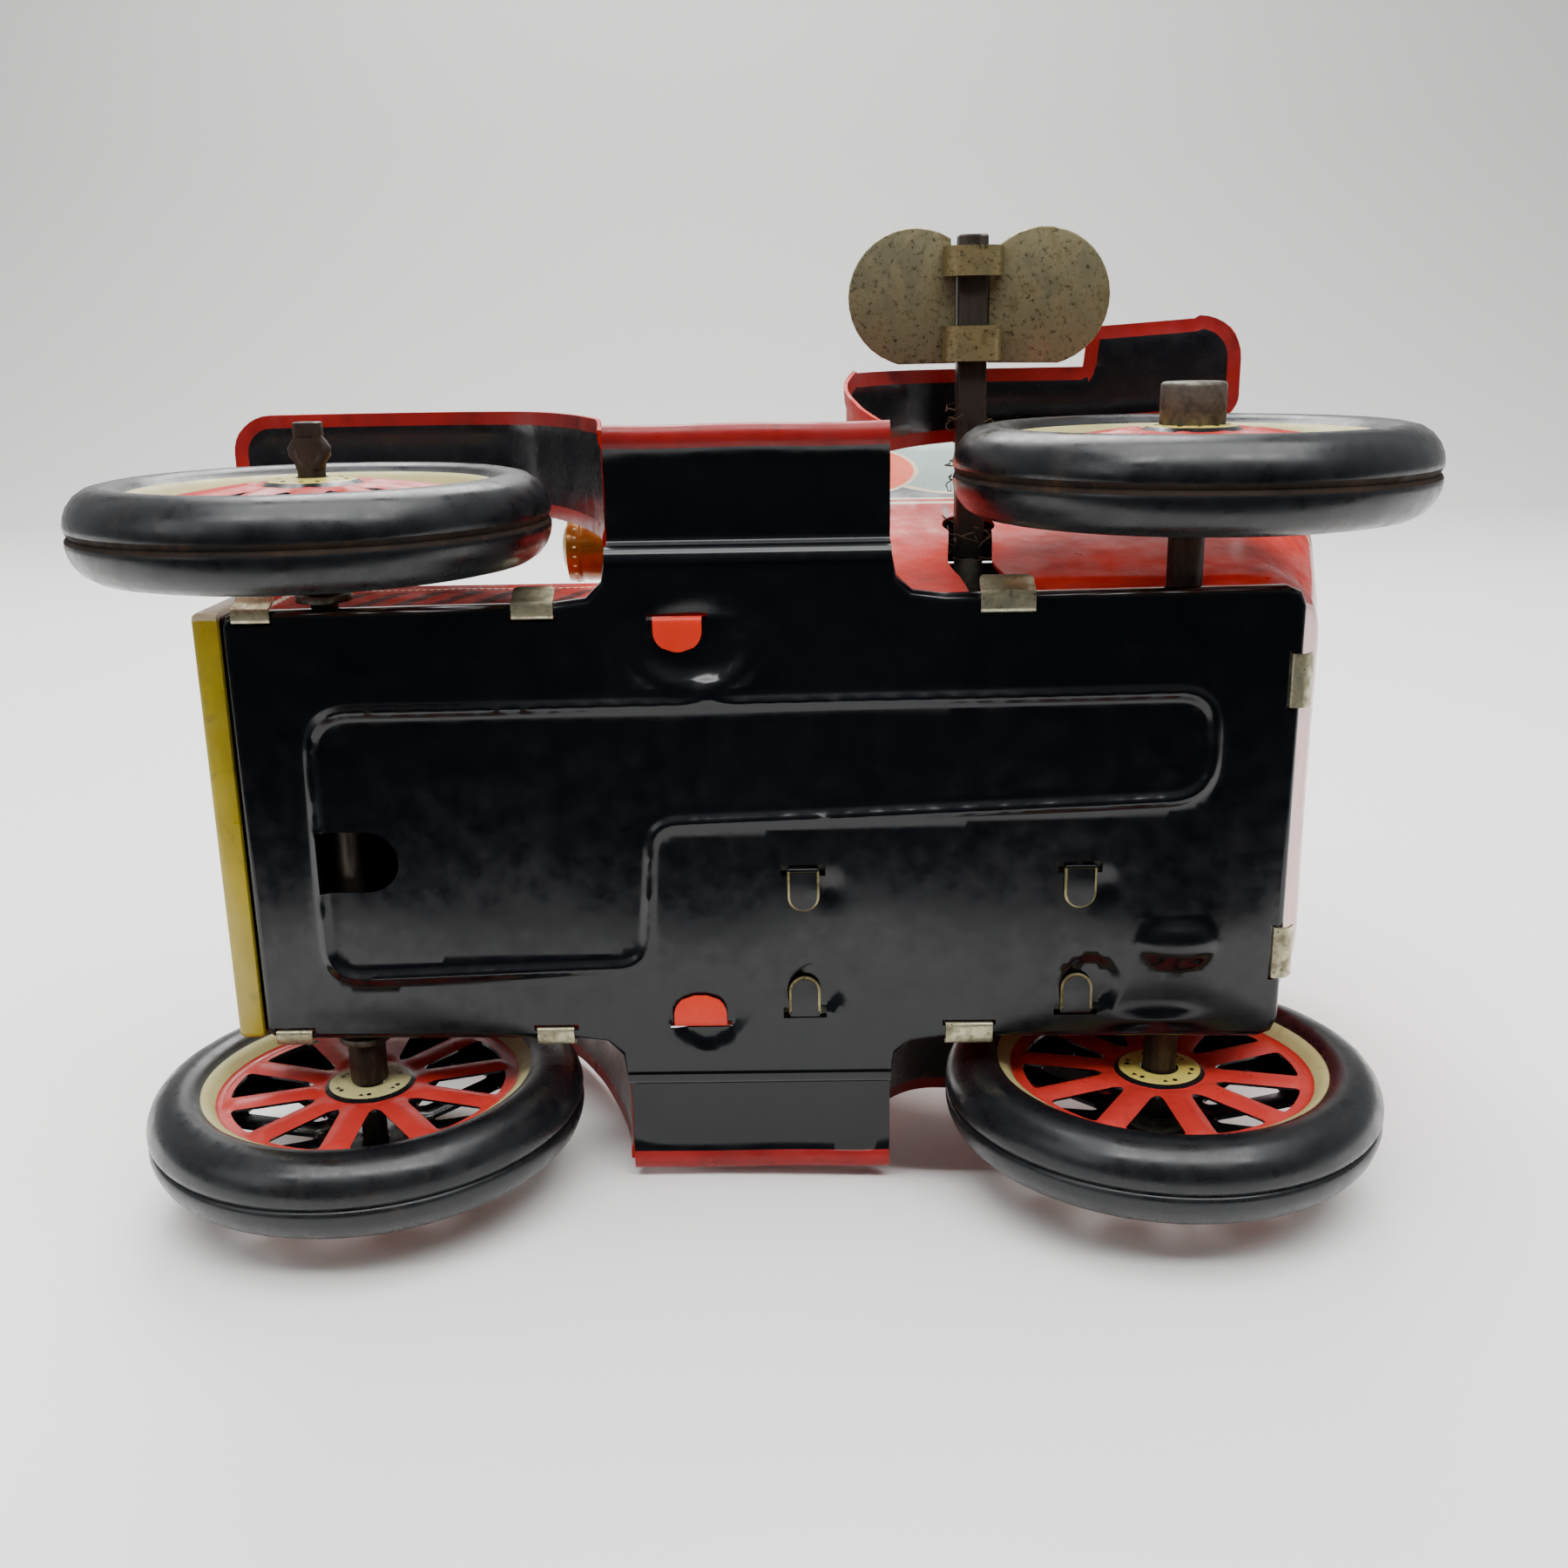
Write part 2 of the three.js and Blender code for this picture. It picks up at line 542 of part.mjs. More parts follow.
function onColumn(geometry, along) {
  geometry.applyQuaternion(columnTurn);
  const at = COLUMN_FOOT.clone().addScaledVector(columnAxis, along);
  geometry.translate(at.x, at.y, at.z);
  return geometry;
}

const columnLength = COLUMN_HEAD.distanceTo(COLUMN_FOOT);
const column = new THREE.CylinderGeometry(1.1, 1.1, columnLength - 1.6, 14);
car.add(finish('steering_column', onColumn(column, columnLength / 2), BRASS, 0.35, 0.8));

const rimSection = [0, 1, 2, 3, 4, 5, 0].map((i) => {
  const angle = i * Math.PI / 3;
  return new THREE.Vector2(8.4 + 0.8 * Math.cos(angle), 0.8 * Math.sin(angle));
});
const ring = new THREE.LatheGeometry(rimSection, 24);
const hub = new THREE.CylinderGeometry(2, 2, 1.2, 14);
const arms = [0, 1, 2, 3].map((i) => {
  const arm = new THREE.BoxGeometry(8.2, 0.6, 1.2);
  arm.translate(4.1, 0, 0);
  arm.rotateY(i * Math.PI / 2);
  return solid(arm);
});
const steeringWheel = toGeometry(union([solid(ring), solid(hub), ...arms]));
car.add(finish('steering_wheel', onColumn(steeringWheel, columnLength + 0.4), BLACK, 0.4, 0));

// ---------------------------------------------------------------- clockwork motor
const TO_AXLE = MODULE * (SECOND_TEETH + AXLE_PINION_TEETH) / 2;
const TO_ARBOR = MODULE * (GREAT_TEETH + SECOND_PINION_TEETH) / 2;

// The second arbor stands at the right distance from both its neighbours, on the rear side.
function secondArbor() {
  const [[bx, bz], [ax, az]] = [REAR_AXLE, ARBOR];
  const d = Math.hypot(bx - ax, bz - az);
  const along = (TO_ARBOR ** 2 - TO_AXLE ** 2 + d ** 2) / (2 * d);
  const off = Math.sqrt(TO_ARBOR ** 2 - along ** 2);
  const [ux, uz] = [(bx - ax) / d, (bz - az) / d];
  return [ax + along * ux + off * uz, az + along * uz - off * ux];
}

const SECOND = secondArbor();

function direction(from, to) {
  return Math.atan2(to[1] - from[1], to[0] - from[0]);
}

// Involute outline with 25 degree flanks, short tips and a little backlash.
function gearOutline(teeth, phase, centre) {
  const pressure = 25 * Math.PI / 180;
  const rPitch = MODULE * teeth / 2;
  const rBase = rPitch * Math.cos(pressure);
  const rRoot = rPitch - 1.15 * MODULE;
  const rTip = rPitch + 0.85 * MODULE;
  const roll = (r) => {
    const t = Math.sqrt(Math.max((r / rBase) ** 2 - 1, 0));
    return t - Math.atan(t);
  };
  const halfPitch = 0.84 * Math.PI / (2 * teeth);
  const half = (r) => halfPitch + roll(rPitch) - roll(Math.max(r, rBase));
  const flank = teeth > 20 ? [rRoot, rPitch, rTip] : [rRoot, Math.max(rBase, rRoot + 0.15), rPitch, rTip];
  const points = [];
  for (let i = 0; i < teeth; i += 1) {
    const middle = phase + i * 2 * Math.PI / teeth;
    flank.forEach((r) => points.push([r, middle - half(r)]));
    flank.slice().reverse().forEach((r) => points.push([r, middle + half(r)]));
  }
  return polygon(points.map(([r, a]) => [centre[0] + r * Math.cos(a), centre[1] + r * Math.sin(a)]));
}

function gear(teeth, phase, centre, y0, y1, bore) {
  const shape = gearOutline(teeth, phase, centre);
  const hole = new THREE.Path();
  hole.absarc(centre[0], centre[1], bore, 0, 2 * Math.PI, true);
  shape.holes.push(hole);
  return alongY(shape, y0, y1, 10);
}

const toAxle = direction(SECOND, REAR_AXLE);
const toArbor = direction(SECOND, ARBOR);

function motorPlate(y, foldTo) {
  const outline = [[1, 0.9], [1, 10], [-7.4, 30], [-11, 47.5], [-14, 50.4], [-40, 50.4], [-46, 44], [-55, 22], [-55, 0.9]];
  const plate = solid(alongY(polygon(outline.slice().reverse()), y - MOTOR_TIN / 2, y + MOTOR_TIN / 2));
  const holes = union([
    solid(pin(...ARBOR, 2.2, y - 2, y + 2, 16)),
    solid(pin(...SECOND, 1.5, y - 2, y + 2, 14)),
    solid(pin(...REAR_AXLE, REAR_AXLE_R + GAP, y - 2, y + 2, 16)),
    solid(box(REAR_AXLE_X - REAR_AXLE_R - GAP, REAR_AXLE_X + REAR_AXLE_R + GAP, y - 2, y + 2, 0, AXLE_Z)),
  ]);
  const tabs = MOTOR_TAB_X.map((x) => {
    const far = Math.min(y - MOTOR_TIN / 2, foldTo);
    const near = Math.max(y + MOTOR_TIN / 2, foldTo);
    return union([
      solid(box(x - 2, x + 2, y - MOTOR_TIN / 2, y + MOTOR_TIN / 2, -0.8, 1)),
      solid(box(x - 2, x + 2, far, near, -0.8, -0.3)),
    ]);
  });
  return union([plate.subtract(holes), ...tabs]);
}

car.add(finish('motor_plate_left', motorPlate(MOTOR_LEFT_Y, -10.6), STEEL, 0.4, 0.8));
car.add(finish('motor_plate_right', motorPlate(MOTOR_RIGHT_Y, -18.5), STEEL, 0.4, 0.8));

const PILLARS = { front: [-3.4, 6], rear: [-47.6, 37.2], top: [-13.2, 46.2], spring: [-9, 30] };
for (const [label, at] of Object.entries(PILLARS)) {
  car.add(finish(`motor_pillar_${label}`, pin(...at, 1.3, -22.6, -6, 12), STEEL, 0.4, 0.8));
}

// The mainspring is a flat coil standing round the arbor, clear of it.
function springBand() {
  const turns = 4.6;
  const steps = 84;
  const inner = 3.4;
  const outer = 13.2;
  const end = direction(ARBOR, PILLARS.spring);
  const outward = [];
  const inward = [];
  for (let i = 0; i <= steps; i += 1) {
    const t = i / steps;
    const angle = end - (1 - t) * turns * 2 * Math.PI;
    const lead = Math.max(t - 0.96, 0) * 75;
    const r = inner + (outer - inner) * t + lead;
    outward.push([ARBOR[0] + (r + 0.25) * Math.cos(angle), ARBOR[1] + (r + 0.25) * Math.sin(angle)]);
    inward.push([ARBOR[0] + (r - 0.25) * Math.cos(angle), ARBOR[1] + (r - 0.25) * Math.sin(angle)]);
  }
  return polygon([...outward, ...inward.reverse()]);
}

car.add(finish('mainspring', alongY(springBand(), -13.4, -6.6), STEEL, 0.3, 0.9));

// winding shaft, its ratchet and the great wheel
const windingShaft = union([
  solid(pin(...ARBOR, 1.9, -24.4, 26, 16)),
  solid(box(ARBOR[0] - ARBOR_HALF, ARBOR[0] + ARBOR_HALF, 25, 66.4, ARBOR[1] - ARBOR_HALF, ARBOR[1] + ARBOR_HALF)),
]);
car.add(finish('winding_arbor', windingShaft, STEEL, 0.4, 0.8));
const greatPhase = toArbor + Math.PI + Math.PI / GREAT_TEETH;
car.add(finish('great_wheel', gear(GREAT_TEETH, greatPhase, ARBOR, -18.6, -17.4, 2.2), BRASS, 0.35, 0.8));

function ratchetOutline() {
  const teeth = 12;
  const shape = new THREE.Shape();
  for (let i = 0; i < teeth; i += 1) {
    const a = i * 2 * Math.PI / teeth;
    const b = a + 2 * Math.PI / teeth * 0.94;
    const low = [ARBOR[0] + 4.4 * Math.cos(a), ARBOR[1] + 4.4 * Math.sin(a)];
    const high = [ARBOR[0] + 5.8 * Math.cos(b), ARBOR[1] + 5.8 * Math.sin(b)];
    if (i === 0) {
      shape.moveTo(...low);
    } else {
      shape.lineTo(...low);
    }
    shape.lineTo(...high);
  }
  const hole = new THREE.Path();
  hole.absarc(...ARBOR, 2.2, 0, 2 * Math.PI, true);
  shape.holes.push(hole);
  return shape;
}

car.add(finish('ratchet_wheel', alongY(ratchetOutline(), -20.2, -19), STEEL, 0.4, 0.8));
const pawl = polygon([[-20.3, 37.2], [-18.8, 41.6], [-17, 43.2], [-15.6, 41.6], [-17.2, 39.6], [-19.6, 36.2]]);
car.add(finish('click', alongY(pawl, -20, -19), STEEL, 0.4, 0.8));

// The key's wings are one plate. Two raised straps hold it on the square of the shaft.
function windingKey() {
  const [ax, az] = ARBOR;
  const wings = union([
    solid(pin(0, 0, 8.4, -0.6, 0.6, 28)).rotate([90, 0, 0]).translate([-19.3, 59.5, az]),
    solid(pin(0, 0, 8.4, -0.6, 0.6, 28)).rotate([90, 0, 0]).translate([-35.6, 59.5, az]),
    solid(box(-35.6, -19.3, KEY_Y0, 66.2, az - 0.6, az + 0.6)),
  ]);
  const straps = union([[51.8, 56.2], [61.8, 66]].map(([y0, y1]) => solid(
    box(ax - 3.3, ax + 3.3, y0, y1, az - ARBOR_HALF - 1.1, az + ARBOR_HALF + 1.1))));
  const square = solid(box(ax - ARBOR_HALF - GAP, ax + ARBOR_HALF + GAP, 40, 70,
    az - ARBOR_HALF - GAP, az + ARBOR_HALF + GAP));
  const window = solid(box(ax - 3, ax + 3, 56.2, 61.8, az - 1, az + 1));
  return union([wings, straps]).subtract(square).subtract(window);
}

car.add(finish('winding_key', windingKey(), BRASS, 0.4, 0.8));

// second shaft
car.add(finish('second_arbor', pin(...SECOND, 1.2, -24.4, -4.2, 14), STEEL, 0.4, 0.8));
const pinionPhase = toArbor;
car.add(finish('second_pinion', gear(SECOND_PINION_TEETH, pinionPhase, SECOND, -19.6, -16.4, 1.5), STEEL, 0.4, 0.8));
car.add(finish('second_wheel', gear(SECOND_TEETH, toAxle, SECOND, -15.6, -14.4, 1.5), BRASS, 0.35, 0.8));

// ---------------------------------------------------------------- axles and wheels
const axlePinionPhase = toAxle + Math.PI + Math.PI / AXLE_PINION_TEETH;
const axlePinion = gear(AXLE_PINION_TEETH, axlePinionPhase, REAR_AXLE, -17.2, -12.9, REAR_AXLE_R + GAP);
car.add(finish('axle_pinion', axlePinion, STEEL, 0.4, 0.8));
car.add(finish('rear_axle', pin(...REAR_AXLE, REAR_AXLE_R, -44.6, 48.9, 20), STEEL, 0.4, 0.7));

const frontAxle = union([
  solid(pin(FRONT_AXLE_X, AXLE_Z, FRONT_AXLE_R, -46.2, 45.2, 16)),
  solid(box(FRONT_AXLE_X - 2.3, FRONT_AXLE_X + 2.3, 42.2, 44.8, AXLE_Z - 1, AXLE_Z + 1)),
  solid(box(FRONT_AXLE_X - 1.6, FRONT_AXLE_X + 1.6, 44.6, 46.8, AXLE_Z - 1.3, AXLE_Z + 1.3)),
  solid(box(FRONT_AXLE_X - 2.3, FRONT_AXLE_X + 2.3, -45.2, -42.6, AXLE_Z - 1, AXLE_Z + 1)),
]);
car.add(finish('front_axle', frontAxle, STEEL, 0.4, 0.7));

function tube(x, z, inner, outer, y0, y1) {
  const profile = [[inner, y0], [outer, y0], [outer, y1], [inner, y1], [inner, y0]];
  const geometry = new THREE.LatheGeometry(profile.map(([r, y]) => new THREE.Vector2(r, y)), 18);
  geometry.translate(x, 0, z);
  return geometry;
}

for (const [side, label] of [[1, 'left'], [-1, 'right']]) {
  const hubY = FRONT_WHEEL_Y[label];
  const inboard = [side * 27.8, hubY - side * 3.2];
  const sleeve = tube(FRONT_AXLE_X, AXLE_Z, FRONT_AXLE_R + GAP, 2.3, Math.min(...inboard), Math.max(...inboard));
  car.add(finish(`axle_sleeve_${label}`, sleeve, STEEL, 0.5, 0.6));
  const flange = [side * 26.7, side * 27.5];
  const washer = tube(FRONT_AXLE_X, AXLE_Z, FRONT_AXLE_R + GAP, 3.2, Math.min(...flange), Math.max(...flange));
  car.add(finish(`axle_washer_${label}`, washer, STEEL, 0.4, 0.7));
}

// Half of a wheel: a pressed disc with a hollow half tyre. Offsets run away from the seam.
function wheelHalf(x, y, outward, bore) {
  const profile = [
    [bore, 2.1], [bore, 2.6], [18, 2.6], [19.7, 4.3], [22, 5], [24.9, 4], [WHEEL_R, 1.4], [WHEEL_R, 0.15],
    [WHEEL_R - 0.5, 0.15], [24.6, 3.5], [21.9, 4.5], [20, 3.8], [18.3, 2.1], [bore, 2.1]];
  const geometry = new THREE.LatheGeometry(profile.reverse().map(([r, o]) => new THREE.Vector2(r, o)), 24);
  geometry.rotateX(outward > 0 ? 0 : Math.PI);
  geometry.translate(x, y, AXLE_Z);
  const windows = [];
  for (let i = 0; i < SPOKES; i += 1) {
    const a = (i + 0.5) * 2 * Math.PI / SPOKES;
    const corners = [[6.8, -1], [6.8, 1], [16.8, 4], [16.8, -4]].map(([r, w]) => [
      x + r * Math.cos(a) - w * Math.sin(a), AXLE_Z + r * Math.sin(a) + w * Math.cos(a)]);
    windows.push(solid(alongY(polygon(corners.reverse()), y - 6, y + 6)));
  }
  return solid(geometry).subtract(union(windows));
}

for (const [side, label] of [[1, 'left'], [-1, 'right']]) {
  const front = FRONT_WHEEL_Y[label];
  const rear = REAR_WHEEL_Y[label];
  for (const [facing, half] of [[side, 'outer'], [-side, 'inner']]) {
    car.add(finish(`front_wheel_${label}_${half}`, wheelHalf(FRONT_AXLE_X, front, facing, FRONT_AXLE_R + GAP), RED));
    car.add(finish(`rear_wheel_${label}_${half}`, wheelHalf(REAR_AXLE_X, rear, facing, REAR_AXLE_R + GAP), RED));
  }
  const capProfile = [[0, 6.7], [2.9, 6.6], [HUB_CAP_R, 5.8], [HUB_CAP_R, 0], [REAR_AXLE_R + GAP, 0],
    [REAR_AXLE_R + GAP, 6.3], [0, 6.3]];
  const hubCap = new THREE.LatheGeometry(
    capProfile.slice().reverse().map(([r, o]) => new THREE.Vector2(r, o)), 20);
  hubCap.rotateX(side > 0 ? 0 : Math.PI);
  hubCap.translate(REAR_AXLE_X, rear + side * 2.9, AXLE_Z);
  car.add(finish(`hub_cap_${label}`, hubCap, STEEL, 0.4, 0.8));
}

export default car;
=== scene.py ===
# Looks of the wind-up tin touring car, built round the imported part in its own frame.
# Shapes below are written in millimetres and turned into metres when a mesh is made.
import math

import bpy
import numpy as np
from mathutils import Euler, Matrix, Vector
from mathutils.geometry import delaunay_2d_cdt


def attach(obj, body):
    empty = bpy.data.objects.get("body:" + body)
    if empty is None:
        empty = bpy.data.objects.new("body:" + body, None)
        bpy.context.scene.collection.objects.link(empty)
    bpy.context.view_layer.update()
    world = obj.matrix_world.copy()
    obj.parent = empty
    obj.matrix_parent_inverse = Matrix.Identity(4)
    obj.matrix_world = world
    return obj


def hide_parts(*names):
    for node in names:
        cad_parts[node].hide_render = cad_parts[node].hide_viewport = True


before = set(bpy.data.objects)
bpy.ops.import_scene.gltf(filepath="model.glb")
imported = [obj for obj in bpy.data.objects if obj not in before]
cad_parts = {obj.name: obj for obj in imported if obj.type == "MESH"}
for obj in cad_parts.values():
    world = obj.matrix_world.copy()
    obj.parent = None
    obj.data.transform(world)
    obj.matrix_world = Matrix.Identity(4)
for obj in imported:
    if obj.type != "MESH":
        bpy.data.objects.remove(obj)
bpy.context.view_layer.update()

MM = 0.001
rng = np.random.default_rng(7)

# ------------------------------------------------------------------ sizes, as in the part
TIN = 0.45
PAN_X = 61
EAR_Y = 31.9
BOARD_FRONT, BOARD_REAR = 17.4, -14.5
BOARD_Y, BOARD_Z = 45.3, 3.5
AXLE_Z = 3.8
FRONT_X, REAR_X = 50.1, -47.9
WHEEL_R = 26.3
WHEELS = {"front_left": (FRONT_X, 35.7, 1), "front_right": (FRONT_X, -36.3, -1),
          "rear_left": (REAR_X, 40.0, 1), "rear_right": (REAR_X, -35.7, -1)}
ARBOR = (-26.6, 34.0)
SECOND = (-40.676, 20.505)
WALL_Y = 25.3


def srgb(r, g, b):
    """8-bit display colour to linear."""
    out = []
    for c in (r, g, b):
        c /= 255
        out.append(c / 12.92 if c <= 0.04045 else ((c + 0.055) / 1.055) ** 2.4)
    return (*out, 1.0)


# ------------------------------------------------------------------ materials
def new_material(name):
    mat = bpy.data.materials.new(name)
    mat.use_nodes = True
    nt = mat.node_tree
    return mat, nt, nt.nodes["Principled BSDF"]


def noise(nt, scale, detail=4, rough=0.55, distortion=0.0, stretch=None):
    tex = nt.nodes.new("ShaderNodeTexNoise")
    tex.inputs["Scale"].default_value = scale
    tex.inputs["Detail"].default_value = detail
    tex.inputs["Roughness"].default_value = rough
    tex.inputs["Distortion"].default_value = distortion
    where = nt.nodes.new("ShaderNodeTexCoord").outputs["Object"]
    if stretch:
        mapping = nt.nodes.new("ShaderNodeMapping")
        mapping.inputs["Scale"].default_value = stretch
        nt.links.new(where, mapping.inputs["Vector"])
        where = mapping.outputs["Vector"]
    nt.links.new(where, tex.inputs["Vector"])
    return tex.outputs["Fac"]


def ramp(nt, value, stops):
    node = nt.nodes.new("ShaderNodeValToRGB")
    el = node.color_ramp.elements
    while len(el) < len(stops):
        el.new(0.5)
    for e, (pos, col) in zip(el, stops):
        e.position = pos
        e.color = col if isinstance(col, tuple) else (col, col, col, 1)
    nt.links.new(value, node.inputs["Fac"])
    return node.outputs["Color"]


def mix(nt, fac, a, b):
    node = nt.nodes.new("ShaderNodeMix")
    node.data_type = "RGBA"
    for sock, value in ((node.inputs["Factor"], fac), (node.inputs[6], a), (node.inputs[7], b)):
        if isinstance(value, bpy.types.NodeSocket):
            nt.links.new(value, sock)
        else:
            sock.default_value = value
    return node.outputs[2]


def enamel(name, colour, dark=None, rough=0.18, chips=0.0, chip_colour=srgb(120, 95, 60), grime=0.25,
           grime_colour=srgb(40, 28, 20), bump=0.02, bump_scale=260, coat=0.3, metallic=0.0, spec=0.5):
    """Stoved enamel or litho on tin: slight tone drift, grime, chips, and a skin that isn't quite flat."""
    mat, nt, bsdf = new_material(name)
    dark = dark or tuple(c * 0.72 for c in colour[:3]) + (1,)
    tone = mix(nt, ramp(nt, noise(nt, 90, 5), [(0.35, 0.0), (0.7, 1.0)]), colour, dark)
    dirt = ramp(nt, noise(nt, 210, 8, 0.7, 0.4), [(0.56, 0.0), (0.72, grime)])
    col = mix(nt, dirt, tone, grime_colour)
    if chips:
        chip = ramp(nt, noise(nt, 900, 6, 0.75), [(0.70 - chips, 0.0), (0.72 - chips, 1.0)])
        col = mix(nt, chip, col, chip_colour)
    nt.links.new(col, bsdf.inputs["Base Color"])
    r = ramp(nt, noise(nt, 320, 6, 0.65), [(0.3, rough * 0.75), (0.75, min(rough * 1.9, 1))])
    nt.links.new(r, bsdf.inputs["Roughness"])
    bsdf.inputs["Coat Weight"].default_value = coat
    bsdf.inputs["Coat Roughness"].default_value = 0.12
    bsdf.inputs["Metallic"].default_value = metallic
    bsdf.inputs["Specular IOR Level"].default_value = spec
    if bump:
        node = nt.nodes.new("ShaderNodeBump")
        node.inputs["Strength"].default_value = bump
        node.inputs["Distance"].default_value = 0.001
        nt.links.new(noise(nt, bump_scale, 3), node.inputs["Height"])
        nt.links.new(node.outputs["Normal"], bsdf.inputs["Normal"])
    return mat


def metal(name, colour, stain, rough=0.35, stain_amount=0.6, scale=260, speck=0.0, stretch=None, metallic=0.9):
    """Bare or plated metal gone dull, with stain in blotches and fine dark specks."""
    mat, nt, bsdf = new_material(name)
    blot = ramp(nt, noise(nt, scale, 7, 0.68, 0.3, stretch), [(0.42, 0.0), (0.66, stain_amount)])
    col = mix(nt, blot, colour, stain)
    if speck:
        dots = ramp(nt, noise(nt, 1500, 5, 0.8), [(0.60 - speck, 0.0), (0.66 - speck, 0.85)])
        col = mix(nt, dots, col, tuple(c * 0.25 for c in stain[:3]) + (1,))
    nt.links.new(col, bsdf.inputs["Base Color"])
    nt.links.new(ramp(nt, blot, [(0.0, rough), (0.6, min(rough + 0.3, 1))]), bsdf.inputs["Roughness"])
    bsdf.inputs["Metallic"].default_value = metallic
    node = nt.nodes.new("ShaderNodeBump")
    node.inputs["Strength"].default_value = 0.06
    node.inputs["Distance"].default_value = 0.0006
    nt.links.new(noise(nt, 900, 5, 0.7, 0, stretch), node.inputs["Height"])
    nt.links.new(node.outputs["Normal"], bsdf.inputs["Normal"])
    return mat


